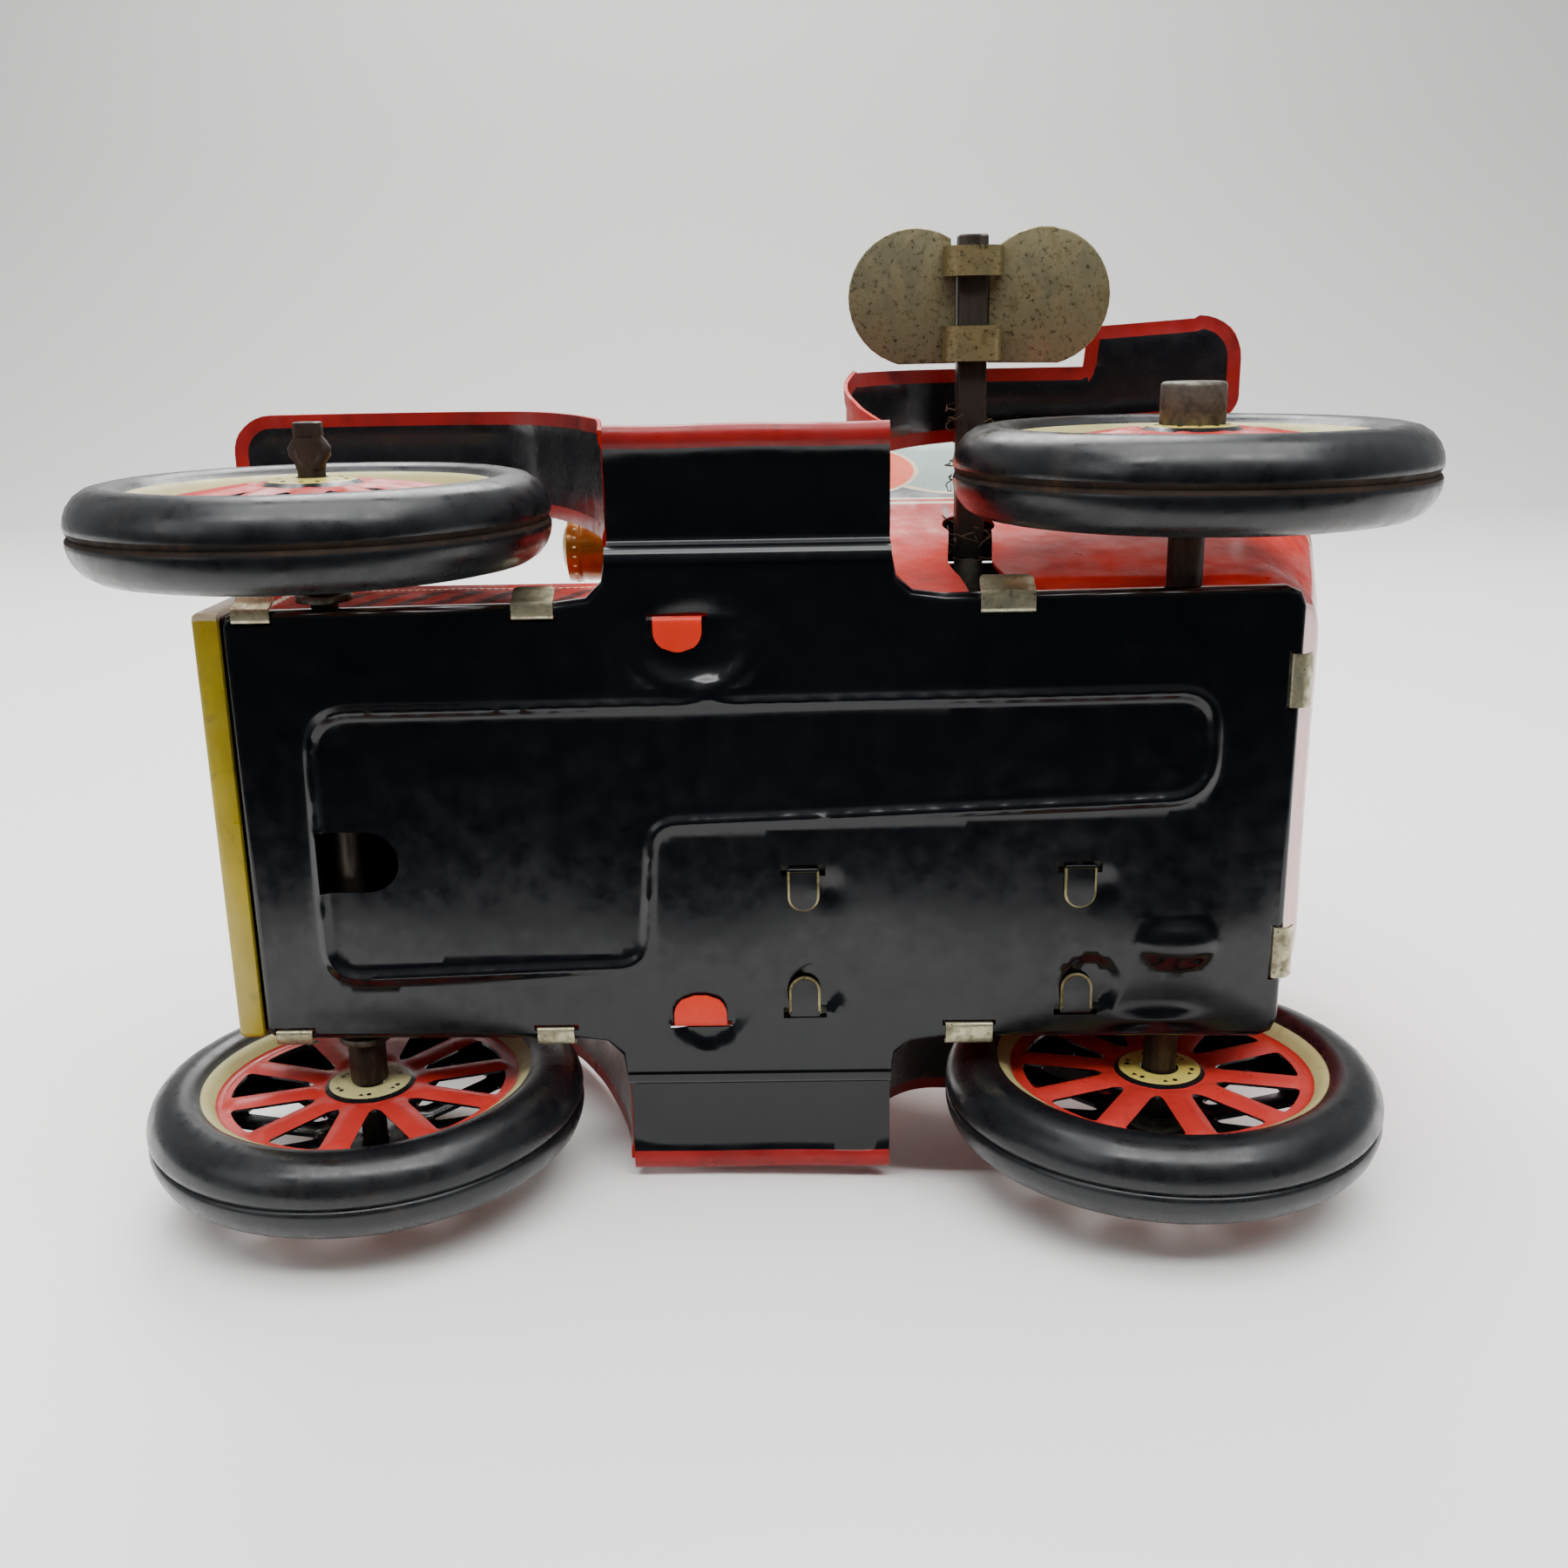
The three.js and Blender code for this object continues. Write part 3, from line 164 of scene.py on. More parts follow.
M = {
    "black": enamel("black_gloss", srgb(7, 9, 13), srgb(4, 5, 8), rough=0.15, grime=0.3,
                    grime_colour=srgb(26, 22, 20), bump=0.05, bump_scale=60, coat=0.0, spec=0.42),
    "black_in": enamel("black_inside", srgb(12, 13, 17), rough=0.2, grime=0.5, grime_colour=srgb(40, 32, 26)),
    "tyre": enamel("tyre_black", srgb(15, 17, 20), srgb(9, 10, 13), rough=0.25, grime=0.55,
                   grime_colour=srgb(44, 36, 30), bump=0.06, bump_scale=120, coat=0.0, spec=0.42),
    "seam": enamel("tyre_seam", srgb(48, 37, 29), srgb(24, 21, 20), rough=0.7, grime=0.7,
                   grime_colour=srgb(74, 52, 35), bump=0.1, bump_scale=300, coat=0.0, spec=0.1),
    "red": enamel("body_red", srgb(190, 36, 19), srgb(160, 26, 15), rough=0.32, grime=0.5,
                  grime_colour=srgb(92, 18, 12), chips=0.01, bump=0.08, bump_scale=70, coat=0.0, spec=0.12),
    # a lighter, glossier copy of body_red for the tub's rear face: the lighter colour is painted sheen, the gloss is
    # real
    "shine": enamel("body_red_painted_sheen", srgb(198, 42, 24), srgb(176, 32, 18), rough=0.16, grime=0.4,
                    grime_colour=srgb(98, 20, 12), bump=0.05, bump_scale=70, coat=0.5),
    "bonnet": enamel("bonnet_red", srgb(178, 46, 34), srgb(150, 34, 26), rough=0.5, grime=0.5,
                     grime_colour=srgb(80, 20, 16), chips=0.01, bump=0.06, bump_scale=90, coat=0.0, spec=0.1),
    "tab": enamel("tab_red", srgb(208, 46, 20), srgb(196, 38, 18), rough=0.3, grime=0.25,
                  grime_colour=srgb(110, 24, 14), coat=0.0, spec=0.3),
    "hem": enamel("hem_red", srgb(146, 28, 26), srgb(112, 20, 20), rough=0.3, grime=0.6,
                  grime_colour=srgb(60, 18, 16), chips=0.03, chip_colour=srgb(36, 20, 18), coat=0.0, spec=0.3),
    "spoke": enamel("spoke_red", srgb(180, 45, 38), srgb(154, 35, 31), rough=0.3, grime=0.5,
                    grime_colour=srgb(84, 28, 24), chips=0.02, chip_colour=srgb(60, 30, 24), coat=0.0, spec=0.35),
    "cream": enamel("ring_cream", srgb(176, 170, 118), srgb(156, 148, 98), rough=0.4, grime=0.5,
                    grime_colour=srgb(96, 84, 52), coat=0.0, spec=0.3),
    "hub": enamel("hub_yellow", srgb(198, 182, 92), srgb(176, 158, 70), rough=0.3, grime=0.5,
                  grime_colour=srgb(92, 76, 34)),
    "yellow": enamel("radiator_yellow", srgb(178, 158, 26), srgb(150, 128, 18), rough=0.3, grime=0.75,
                     grime_colour=srgb(66, 54, 22), chips=0.02, chip_colour=srgb(40, 32, 20)),
    # a pale, near-white copy of the radiator's yellow: painted highlight for the side that faces the light
    "pale": enamel("radiator_painted_highlight", srgb(196, 190, 160), srgb(176, 168, 136), rough=0.35, grime=0.4,
                   grime_colour=srgb(112, 104, 80)),
    "core": enamel("radiator_core", srgb(92, 88, 76), rough=0.4, grime=0.5, metallic=0.4),
    "louvre": enamel("louvre_grey", srgb(88, 34, 28), rough=0.5, grime=0.5, coat=0.0, spec=0.1),
    "grey": enamel("litho_grey", srgb(74, 78, 80), rough=0.3, grime=0.4, coat=0.0, spec=0.2),
    "blue": enamel("litho_blue", srgb(150, 176, 168), rough=0.3, grime=0.35, coat=0.0, spec=0.2),
    "orange": enamel("litho_orange", srgb(226, 84, 26), srgb(208, 66, 20), rough=0.3, grime=0.3, coat=0.0, spec=0.2),
    "line": enamel("litho_cream", srgb(214, 202, 168), rough=0.3, grime=0.3, coat=0.0, spec=0.2),
    "maroon": enamel("litho_maroon", srgb(96, 18, 18), rough=0.3, grime=0.4, coat=0.0, spec=0.2),
    "amber": enamel("lamp_amber", srgb(164, 108, 40), srgb(124, 74, 20), rough=0.2, grime=0.5, metallic=0.5,
                    grime_colour=srgb(66, 32, 10)),
    "lens": enamel("lamp_lens", srgb(206, 196, 140), srgb(184, 172, 112), rough=0.15, grime=0.3, coat=0.8),
    "seat": enamel("seat_brown", srgb(96, 40, 28), srgb(74, 28, 20), rough=0.4, grime=0.5, bump=0.15, bump_scale=420),
    "key": metal("key_brass", srgb(140, 134, 104), srgb(98, 86, 54), rough=0.34, stain_amount=0.8, scale=240,
                 speck=0.045, stretch=(1, 0.6, 1), metallic=0.7),
    "strap": metal("strap_brass", srgb(158, 146, 104), srgb(92, 78, 44), rough=0.3, stain_amount=0.85, speck=0.05,
                   metallic=0.75),
    "clip": metal("bare_tin", srgb(186, 180, 150), srgb(104, 96, 70), rough=0.3, stain_amount=0.8, scale=500,
                  speck=0.02, metallic=0.85),
    "steel": metal("dark_steel", srgb(96, 92, 82), srgb(48, 42, 34), rough=0.45, stain_amount=0.9, scale=420,
                   metallic=0.55),
    "axle": metal("axle_steel", srgb(70, 62, 56), srgb(34, 26, 22), rough=0.4, stain_amount=0.9, scale=420,
                  stretch=(1, 0.2, 1), metallic=0.8),
    "rust": metal("rusty_axle", srgb(122, 98, 62), srgb(74, 48, 28), rough=0.5, stain_amount=0.9, scale=520,
                  metallic=0.6),
    "brass": metal("gear_brass", srgb(196, 164, 92), srgb(120, 92, 44), rough=0.28, stain_amount=0.6),
    "lint": enamel("lint_brown", srgb(74, 58, 44), rough=0.9, grime=0.3, coat=0.0, spec=0.1),
}


# ------------------------------------------------------------------ mesh helpers
def dense(points, step, closed=True):
    """The polyline with points no further apart than step."""
    out = []
    pairs = list(zip(points, points[1:] + points[:1])) if closed else list(zip(points, points[1:]))
    for (ax, ay), (bx, by) in pairs:
        n = max(1, math.ceil(math.hypot(bx - ax, by - ay) / step))
        out += [(ax + (bx - ax) * i / n, ay + (by - ay) * i / n) for i in range(n)]
    if not closed:
        out.append(points[-1])
    return out


def rounded(points, radii, n=6):
    """A polygon's corners replaced by arcs; radii is one number or one for each corner."""
    if not isinstance(radii, (list, tuple)):
        radii = [radii] * len(points)
    out = []
    for i, p in enumerate(points):
        r = radii[i]
        if r <= 0:
            out.append(tuple(p))
            continue
        p = Vector(p)
        a = (Vector(points[i - 1]) - p)
        b = (Vector(points[(i + 1) % len(points)]) - p)
        r = min(r, a.length * 0.49, b.length * 0.49)
        pa, pb = p + a.normalized() * r, p + b.normalized() * r
        for k in range(n + 1):
            t = k / n
            q = pa * (1 - t) ** 2 + p * 2 * t * (1 - t) + pb * t ** 2
            out.append((q.x, q.y))
    return out


def circle(cx, cy, r, n=28, a0=0.0, a1=2 * math.pi):
    full = abs(a1 - a0 - 2 * math.pi) < 1e-6
    m = n if full else n + 1
    return [(cx + r * math.cos(a0 + (a1 - a0) * i / n), cy + r * math.sin(a0 + (a1 - a0) * i / n))
            for i in range(m)]


def inside(px, py, poly):
    """Which of the points lie in the polygon."""
    res = np.zeros(len(px), bool)
    n = len(poly)
    for i in range(n):
        x0, y0 = poly[i - 1]
        x1, y1 = poly[i]
        if y0 == y1:
            continue
        hit = ((y1 > py) != (y0 > py)) & (px < (x0 - x1) * (py - y1) / (y0 - y1) + x1)
        res ^= hit
    return res


def to_line(px, py, line, closed=True):
    """Distance of each point from a polyline."""
    best = np.full(len(px), 1e9)
    pairs = zip(line, line[1:] + line[:1]) if closed else zip(line, line[1:])
    for (x0, y0), (x1, y1) in pairs:
        dx, dy = x1 - x0, y1 - y0
        l2 = dx * dx + dy * dy
        if l2 == 0:
            continue
        t = np.clip(((px - x0) * dx + (py - y0) * dy) / l2, 0, 1)
        best = np.minimum(best, np.hypot(px - x0 - t * dx, py - y0 - t * dy))
    return best


def smooth(x, a, b):
    t = np.clip((x - a) / (b - a), 0, 1)
    return t * t * (3 - 2 * t)


def build(name, verts, faces, mats, picks=None, body="car", nodes=(), slot=None, sharp=38, solid=None, flip=False,
          rim_mat=None, bevel=0):
    """A mesh piece from millimetre points, made solid if asked, with its normals split at real edges."""
    mesh = bpy.data.meshes.new(name)
    if flip:
        faces = [tuple(reversed(f)) for f in faces]
    mesh.from_pydata([tuple(c * MM for c in v) for v in verts], [], faces)
    for m in mats:
        mesh.materials.append(M[m])
    if picks is not None:
        mesh.polygons.foreach_set("material_index", [int(p) for p in picks])
    mesh.validate()
    obj = bpy.data.objects.new(name, mesh)
    bpy.context.scene.collection.objects.link(obj)
    if bevel:
        mod = obj.modifiers.new("edges", "BEVEL")
        mod.width = bevel * MM
        mod.segments = 3
        mod.limit_method = "ANGLE"
        mod.angle_limit = math.radians(35)
    if solid:
        mod = obj.modifiers.new("tin", "SOLIDIFY")
        mod.thickness = solid * MM
        mod.offset = -1
        mod.use_even_offset = False
        if rim_mat is not None:
            mod.material_offset = rim_mat
            mod.material_offset_rim = rim_mat
    if bevel or solid:
        dg = bpy.context.evaluated_depsgraph_get()
        done = bpy.data.meshes.new_from_object(obj.evaluated_get(dg))
        obj.modifiers.clear()
        obj.data = done
        mesh = done
    mesh.polygons.foreach_set("use_smooth", [True] * len(mesh.polygons))
    mesh.set_sharp_from_angle(angle=math.radians(sharp))
    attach(obj, body)
    if nodes:
        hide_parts(*nodes)
    return obj


def sheet(name, outline, place, mats, holes=(), guides=(), step=1.5, pick=None, **kw):
    """A sheet cut to a flat outline, meshed evenly, then put in space by place(u, v).
    Guides are (line, closed) pairs whose edges are kept, such as a fold or the edge of a colour."""
    lines = [(dense(list(outline), step), True)]
    lines += [(dense(list(h), min(step, 0.8)), True) for h in holes]
    lines += [(dense(list(g), step, c), c) for g, c in guides]
    pts, edges = [], []
    for line, closed in lines:
        base = len(pts)
        pts += line
        n = len(line)
        edges += [(base + i, base + (i + 1) % n) for i in range(n if closed else n - 1)]
    border = np.array(pts)
    lo, hi = border.min(0), border.max(0)
    gx, gy = np.meshgrid(np.arange(lo[0], hi[0], step), np.arange(lo[1], hi[1], step * 0.87))
    gx = gx + (np.arange(gx.shape[0]) % 2)[:, None] * step / 2
    gx, gy = gx.ravel(), gy.ravel()
    keep = inside(gx, gy, lines[0][0])
    for h in holes:
        keep &= ~inside(gx, gy, list(h))
    gx, gy = gx[keep], gy[keep]
    near = np.full(len(gx), 1e9)
    for line, closed in lines:
        near = np.minimum(near, to_line(gx, gy, line, closed))
    gx, gy = gx[near > step * 0.42], gy[near > step * 0.42]
    allpts = [Vector(p) for p in pts] + [Vector((x, y)) for x, y in zip(gx, gy)]
    vs, _, fs, *_ = delaunay_2d_cdt(allpts, edges, [], 0, 1e-5)
    uv = np.array([(v.x, v.y) for v in vs])
    tri = np.array([f for f in fs if len(f) == 3])
    mid = uv[tri].mean(1)
    keep = inside(mid[:, 0], mid[:, 1], lines[0][0])
    for h in holes:
        keep &= ~inside(mid[:, 0], mid[:, 1], list(h))
    tri, mid = tri[keep], mid[keep]
    used = np.unique(tri)
    new = np.full(len(uv), -1)
    new[used] = np.arange(len(used))
    uv, tri = uv[used], new[tri]
    xyz = np.column_stack(place(uv[:, 0], uv[:, 1]))
    picks = pick(mid[:, 0], mid[:, 1]) if pick else None
    return build(name, xyz.tolist(), [tuple(t) for t in tri.tolist()], mats, picks, **kw)


def lathe(profile, centre, axis="y", seg=72, sign=1, start=0.0):
    """Verts and faces of a turned shape; profile points are (radius, distance along the axis)."""
    cx, cy, cz = centre
    verts, faces = [], []
    n = len(profile)
    for i in range(seg):
        a = start + 2 * math.pi * i / seg
        c, s = math.cos(a), math.sin(a)
        for r, o in profile:
            if axis == "y":
                verts.append((cx + r * c, cy + sign * o, cz + r * s))
            elif axis == "x":
                verts.append((cx + sign * o, cy + r * c, cz + r * s))
            else:
                verts.append((cx + r * c, cy + r * s, cz + sign * o))
    for i in range(seg):
        j = (i + 1) % seg
        for k in range(n - 1):
            a, b, c, d = i * n + k, i * n + k + 1, j * n + k + 1, j * n + k
            faces.append((a, b, c, d))
    return verts, faces


def fix_normals(obj):
    import bmesh
    bm = bmesh.new()
    bm.from_mesh(obj.data)
    bmesh.ops.remove_doubles(bm, verts=bm.verts, dist=1e-6)
    bmesh.ops.recalc_face_normals(bm, faces=bm.faces)
    bm.to_mesh(obj.data)
    bm.free()
    return obj


def turned(name, profile, centre, mats, axis="y", seg=72, sign=1, zones=None, **kw):
    """A closed turned piece. zones gives the material of each profile span."""
    verts, faces = lathe(profile, centre, axis, seg, sign)
    n = len(profile) - 1
    picks = [zones[i % n] for i in range(len(faces))] if zones else None
    return fix_normals(build(name, verts, faces, mats, picks, **kw))


def bar(path, widths, thick, along=(1, 0, 0)):
    """Verts and faces of a strip bent along a path of 3-D points; along is its width direction."""
    along = Vector(along)
    pts = [Vector(p) for p in path]
    verts, faces = [], []
    for i, p in enumerate(pts):
        t = (pts[min(i + 1, len(pts) - 1)] - pts[max(i - 1, 0)]).normalized()
        n = t.cross(along).normalized()
        w = widths[i] / 2 if isinstance(widths, (list, tuple)) else widths / 2
        for a, b in ((-w, 0), (w, 0), (w, -thick), (-w, -thick)):
            verts.append(tuple(p + along * a + n * b))
    for i in range(len(pts) - 1):
        for k in range(4):
            a, b = i * 4 + k, i * 4 + (k + 1) % 4
            faces.append((a, b, b + 4, a + 4))
    faces += [(3, 2, 1, 0), tuple(len(verts) - 4 + k for k in range(4))]
    return verts, faces


def joined(parts):
    """Several (verts, faces) pairs as one."""
    verts, faces, picks = [], [], []
    for part in parts:
        v, f = part[0], part[1]
        base = len(verts)
        verts += v
        faces += [tuple(base + i for i in face) for face in f]
        picks += [part[2] if len(part) > 2 else 0] * len(f)
    return verts, faces, picks


def block(x0, x1, y0, y1, z0, z1):
    v = [(x, y, z) for z in (z0, z1) for y in (y0, y1) for x in (x0, x1)]
    f = [(0, 2, 3, 1), (4, 5, 7, 6), (0, 1, 5, 4), (2, 6, 7, 3), (0, 4, 6, 2), (1, 3, 7, 5)]
    return v, f


def catmull(points, count):
    """Evenly spaced points on a smooth curve through the given ones."""
    p = np.array(points, float)
    ext = np.vstack([2 * p[0] - p[1], p, 2 * p[-1] - p[-2]])
    out = []
    for i in range(1, len(ext) - 2):
        p0, p1, p2, p3 = ext[i - 1:i + 3]
        for t in np.linspace(0, 1, 24, endpoint=False):
            out.append(0.5 * (2 * p1 + (p2 - p0) * t + (2 * p0 - 5 * p1 + 4 * p2 - p3) * t ** 2
                              + (3 * p1 - p0 - 3 * p2 + p3) * t ** 3))
    out.append(p[-1])
    out = np.array(out)
    s = np.concatenate([[0], np.cumsum(np.hypot(*np.diff(out, axis=0).T))])
    want = np.linspace(0, s[-1], count)
    return np.column_stack([np.interp(want, s, out[:, 0]), np.interp(want, s, out[:, 1])]), want


# ------------------------------------------------------------------ floor pan
def pan_half(x):
    return 26.1 + 1.2 * (PAN_X - x) / (2 * PAN_X)


def pan_outline(inset):
    """Plan outline of pan and ears. The ears' straight ends aren't inset, as no rim stands there."""
    half = [(PAN_X - inset, 26.1 - inset)]
    fillet_f = [(BOARD_FRONT + 6, pan_half(20)), (BOARD_FRONT + 2.4, pan_half(20) + 0.5),
                (BOARD_FRONT + 0.6, pan_half(20) + 2.4), (BOARD_FRONT, EAR_Y)]
    fillet_r = [(BOARD_REAR, EAR_Y), (BOARD_REAR - 0.6, pan_half(-18) + 2.2),
                (BOARD_REAR - 2.4, pan_half(-18) + 0.5), (BOARD_REAR - 6, pan_half(-18))]
    left = [(PAN_X - inset, 0)]
    left += [(PAN_X - inset, 24.4), (PAN_X - 0.5 - inset * 0.7, 25.6 - inset * 0.7), (PAN_X - 1.7, 26.1 - inset)]
    left += [(x - (inset if 0 < i < 3 else 0) * 0.5, y - (inset if i < 3 else 0)) for i, (x, y) in enumerate(fillet_f)]
    left += [(x + (inset if 0 < i < 3 else 0) * 0.5, y - (inset if i > 0 else 0)) for i, (x, y) in enumerate(fillet_r)]
    left += [(-PAN_X + 2.4, 27.3 - inset), (-PAN_X + 0.7 + inset * 0.7, 26.6 - inset * 0.7),
             (-PAN_X + inset, 24.9), (-PAN_X + inset, 0)]
    right = [(x, -y) for x, y in reversed(left)][1:-1]
    return left + right


BEAD = rounded([(52.2, 14.4), (-51.4, 15.4), (-51.4, 2.9), (13.4, 0.6), (14.6, -17.0), (52.6, -18.2)],
               [5, 4.5, 5, 3.2, 3.4, 4.5], 8)
TAB_UNDER = {"left": (9.55, 5.5), "right": (8.35, 6.3)}
MOTOR_TABS = [(-4.2, -5.3, -10.2), (-36.6, -5.3, -10.2), (-4.2, -23.3, -18.6), (-36.6, -23.3, -18.6)]
DEE = [(52.6, 0.1), (46.9, 0.1)] + circle(46.9, -3.6, 3.7, 12, math.pi / 2, 1.5 * math.pi)[1:] + [(52.6, -7.3)]


def beside(loop, d):
    """A closed loop moved sideways by d."""
    b = np.array(dense(loop, 0.9))
    run = np.roll(b, -1, 0) - np.roll(b, 1, 0)
    run /= np.hypot(run[:, 0], run[:, 1])[:, None]
    moved = b + d * np.column_stack([run[:, 1], -run[:, 0]])
    keep = to_line(moved[:, 0], moved[:, 1], loop) > abs(d) - 0.04
    return [tuple(q) for q in moved[keep]]


RECESSES = [(-5.6, -20.0, 3.2), (-38.2, -20.0, 3.3)]


def pan_height(x, y):
    """How far the underside is pressed in (+) or out (-) from flat."""
    z = np.zeros_like(x)
    d = to_line(x, y, BEAD)
    z += -0.55 * np.cos(np.clip(d / 1.15, 0, 1) * math.pi / 2) ** 2
    field = inside(x, y, BEAD)
    z += np.where(field, 0.12, 0.0)
    # the funnel and its ridge under the left body tab, with a spur that runs into the bead
    bowl = np.hypot((x - 7.9) / 6.2, (y - 21.8) / 4.6)
    z += 0.85 * np.exp(-(bowl ** 4)) - 0.45 * np.exp(-((bowl - 1.12) / 0.22) ** 2) * (y < 24)
    z += -0.7 * np.exp(-((x - 6.2) / (1.3 + 0.35 * np.clip(y - 16, 0, 3))) ** 2) * smooth(y, 14.8, 15.6) * (1 - smooth(y, 17.2, 18.2))
    # round recesses at the right-hand motor tabs and the right body tab
    for cx, cy, r in RECESSES + [(7.6, -22.6, 4.6)]:
        d = np.hypot(x - cx, y - cy)
        z += 0.5 * (1 - smooth(d, r - 0.35, r + 0.25))
    for cx, cy in ((-7.4, -7.6), (-39.6, -7.6)):
        d = np.hypot((x - cx) / 1.2, (y - cy) / 1.6)
        z += 0.28 * np.exp(-(d ** 2))
    # blister under the gear, and the softer swelling round it
    u, v = (x + 48.4) / 4.6, (y + 15.0) / 2.9
    z += -1.15 * np.clip(1 - u * u - v * v, 0, 1) ** 0.6
    z += -0.35 * np.exp(-(((x + 48.4) / 8.5) ** 2 + ((y + 15) / 6.5) ** 2))
    z += -0.8 * np.exp(-(((x + 46.6) / 4.6) ** 2)) * smooth(-y, 22.5, 26.0)
    z += -0.25 * np.exp(-(((x + 47.5) / 5.0) ** 2)) * smooth(y, 23, 26.4)
    # the tin isn't quite flat
    z += 0.10 * np.sin(x / 21 + 0.6) * np.cos(y / 13) + 0.06 * np.sin(x / 9 + y / 7) + 0.04 * np.sin(x / 5.1 - y / 6.3)
    edge = to_line(x, y, pan_outline(0.9))
    return z * smooth(edge, 0.0, 1.6)


def slot_rect(x0, x1, y0, y1):
    return [(x0, y0), (x1, y0), (x1, y1), (x0, y1)]


def pan_holes():
    holes = [DEE]
    for s in (1, -1):
        lo, hi = sorted((s * 24.5, s * 25.2))
        for x0, x1 in ((55.0, 59.9), (23.1, 28.5)):
            holes.append(slot_rect(x0, x1, lo, hi))
    holes.append(slot_rect(-27.1, -20.7, -25.2, -24.5))
    holes.append(slot_rect(6.2, 13.0, 24.4, 25.2))
    holes.append(slot_rect(4.6, 12.0, -25.2, -24.4))
    for y0, y1 in ((13.1, 19.9), (-19.8, -12.9)):
        holes.append(slot_rect(-59.9, -59.3, y0, y1))
    for x, y, _ in MOTOR_TABS:
        holes.append(slot_rect(x - 2.6, x + 2.6, y - 0.7, y + 0.7))
    return holes


def make_pan():
    inner = pan_outline(0.9)
    rings = [(circle(x, y, q, 36), True) for x, y, c in RECESSES for q in (c - 0.35, c + 0.25)]
    sheet("pan_sheet", inner, lambda u, v: (u, v, pan_height(u, v)), ["black"], holes=pan_holes(),
          guides=[(BEAD, True)] + [(beside(BEAD, d), True) for d in (-1.15, -0.77, -0.38, 0.38, 0.77, 1.15)] + rings, step=0.95,
          solid=TIN, flip=True, nodes=["floor_pan"], slot="black_enamel", sharp=50)
    # rim: rolled up from the edge, and left off along the ears' straight ends
    stations = [(0.9, 0.0), (0.55, 0.04), (0.28, 0.2), (0.1, 0.5), (0.02, 0.9), (0.0, 1.4), (0.02, 2.0)]
    loops = [dense(pan_outline(i), 400) for i, _ in stations]
    n = len(loops[0])
    verts = [(x, y, z) for loop, (_, z) in zip(loops, stations) for x, y in loop]
    faces = []
    for k in range(len(stations) - 1):
        for i in range(n):
            j = (i + 1) % n
            (ax, ay), (bx, by) = loops[0][i], loops[0][j]
            if abs(ay) > EAR_Y - 0.01 and abs(by) > EAR_Y - 0.01:
                continue
            faces.append((k * n + i, k * n + j, (k + 1) * n + j, (k + 1) * n + i))
    build("pan_rim", verts, faces, ["black"], solid=TIN, slot="black_enamel", sharp=60)


# The running boards are carried on a jog in the tin. The hem along the outside is red.
def make_board(side, label):
    path = [(31.0, 0.0), (31.7, 0.03), (32.05, 0.25), (32.2, 0.8), (32.35, 2.4), (32.5, 3.1), (32.9, 3.42), (33.6, 3.5),
            (36, 3.52), (38.5, 3.5), (41, 3.5), (43.4, 3.5), (43.6, 3.3), (44.6, 3.2), (45.15, 3.35), (45.35, 3.75),
            (45.2, 4.2), (44.6, 4.4)]
    xs = np.linspace(BOARD_REAR, BOARD_FRONT, 41)
    verts, faces, picks = [], [], []
    for x in xs:
        for y, z in path:
            end = min(x - BOARD_REAR, BOARD_FRONT - x)
            dent = 0.9 * max(0, 1 - end / 3.4) * math.exp(-(((y - 38.6) / 1.5) ** 2)) if 33 < y < 43 else 0
            wave = 0.12 * math.sin(x / 3.1 + side) * smooth(np.array([y]), 40, 45)[0]
            if side < 0 and y > 43:
                wave += 0.35 * math.exp(-(((x - BOARD_REAR - 3) / 5.0) ** 2))
            verts.append((x, side * (y + wave * 0.5), z + dent + wave * 0.4))
    m = len(path)
    for i in range(len(xs) - 1):
        for k in range(m - 1):
            faces.append((i * m + k, i * m + k + 1, (i + 1) * m + k + 1, (i + 1) * m + k))
            picks.append(1 if k >= 11 else 0)
    build(f"running_board_{label}", verts, faces, ["black", "hem"], picks, solid=TIN, flip=side > 0, sharp=50,
          slot="black_enamel")


# ------------------------------------------------------------------ mudguards
FRONT_PATH = [(17.8, 5), (18.7, 12), (20.8, 19.5), (25, 30), (31, 39), (41, 42.8), (56, 43.2), (71.5, 41)]
REAR_PATH = [(-14.6, 5), (-11.9, 11), (-10.6, 18), (-14, 30), (-19.5, 38), (-27, 41), (-44, 41.8), (-56, 40.6),
             (-62.3, 38.6)]


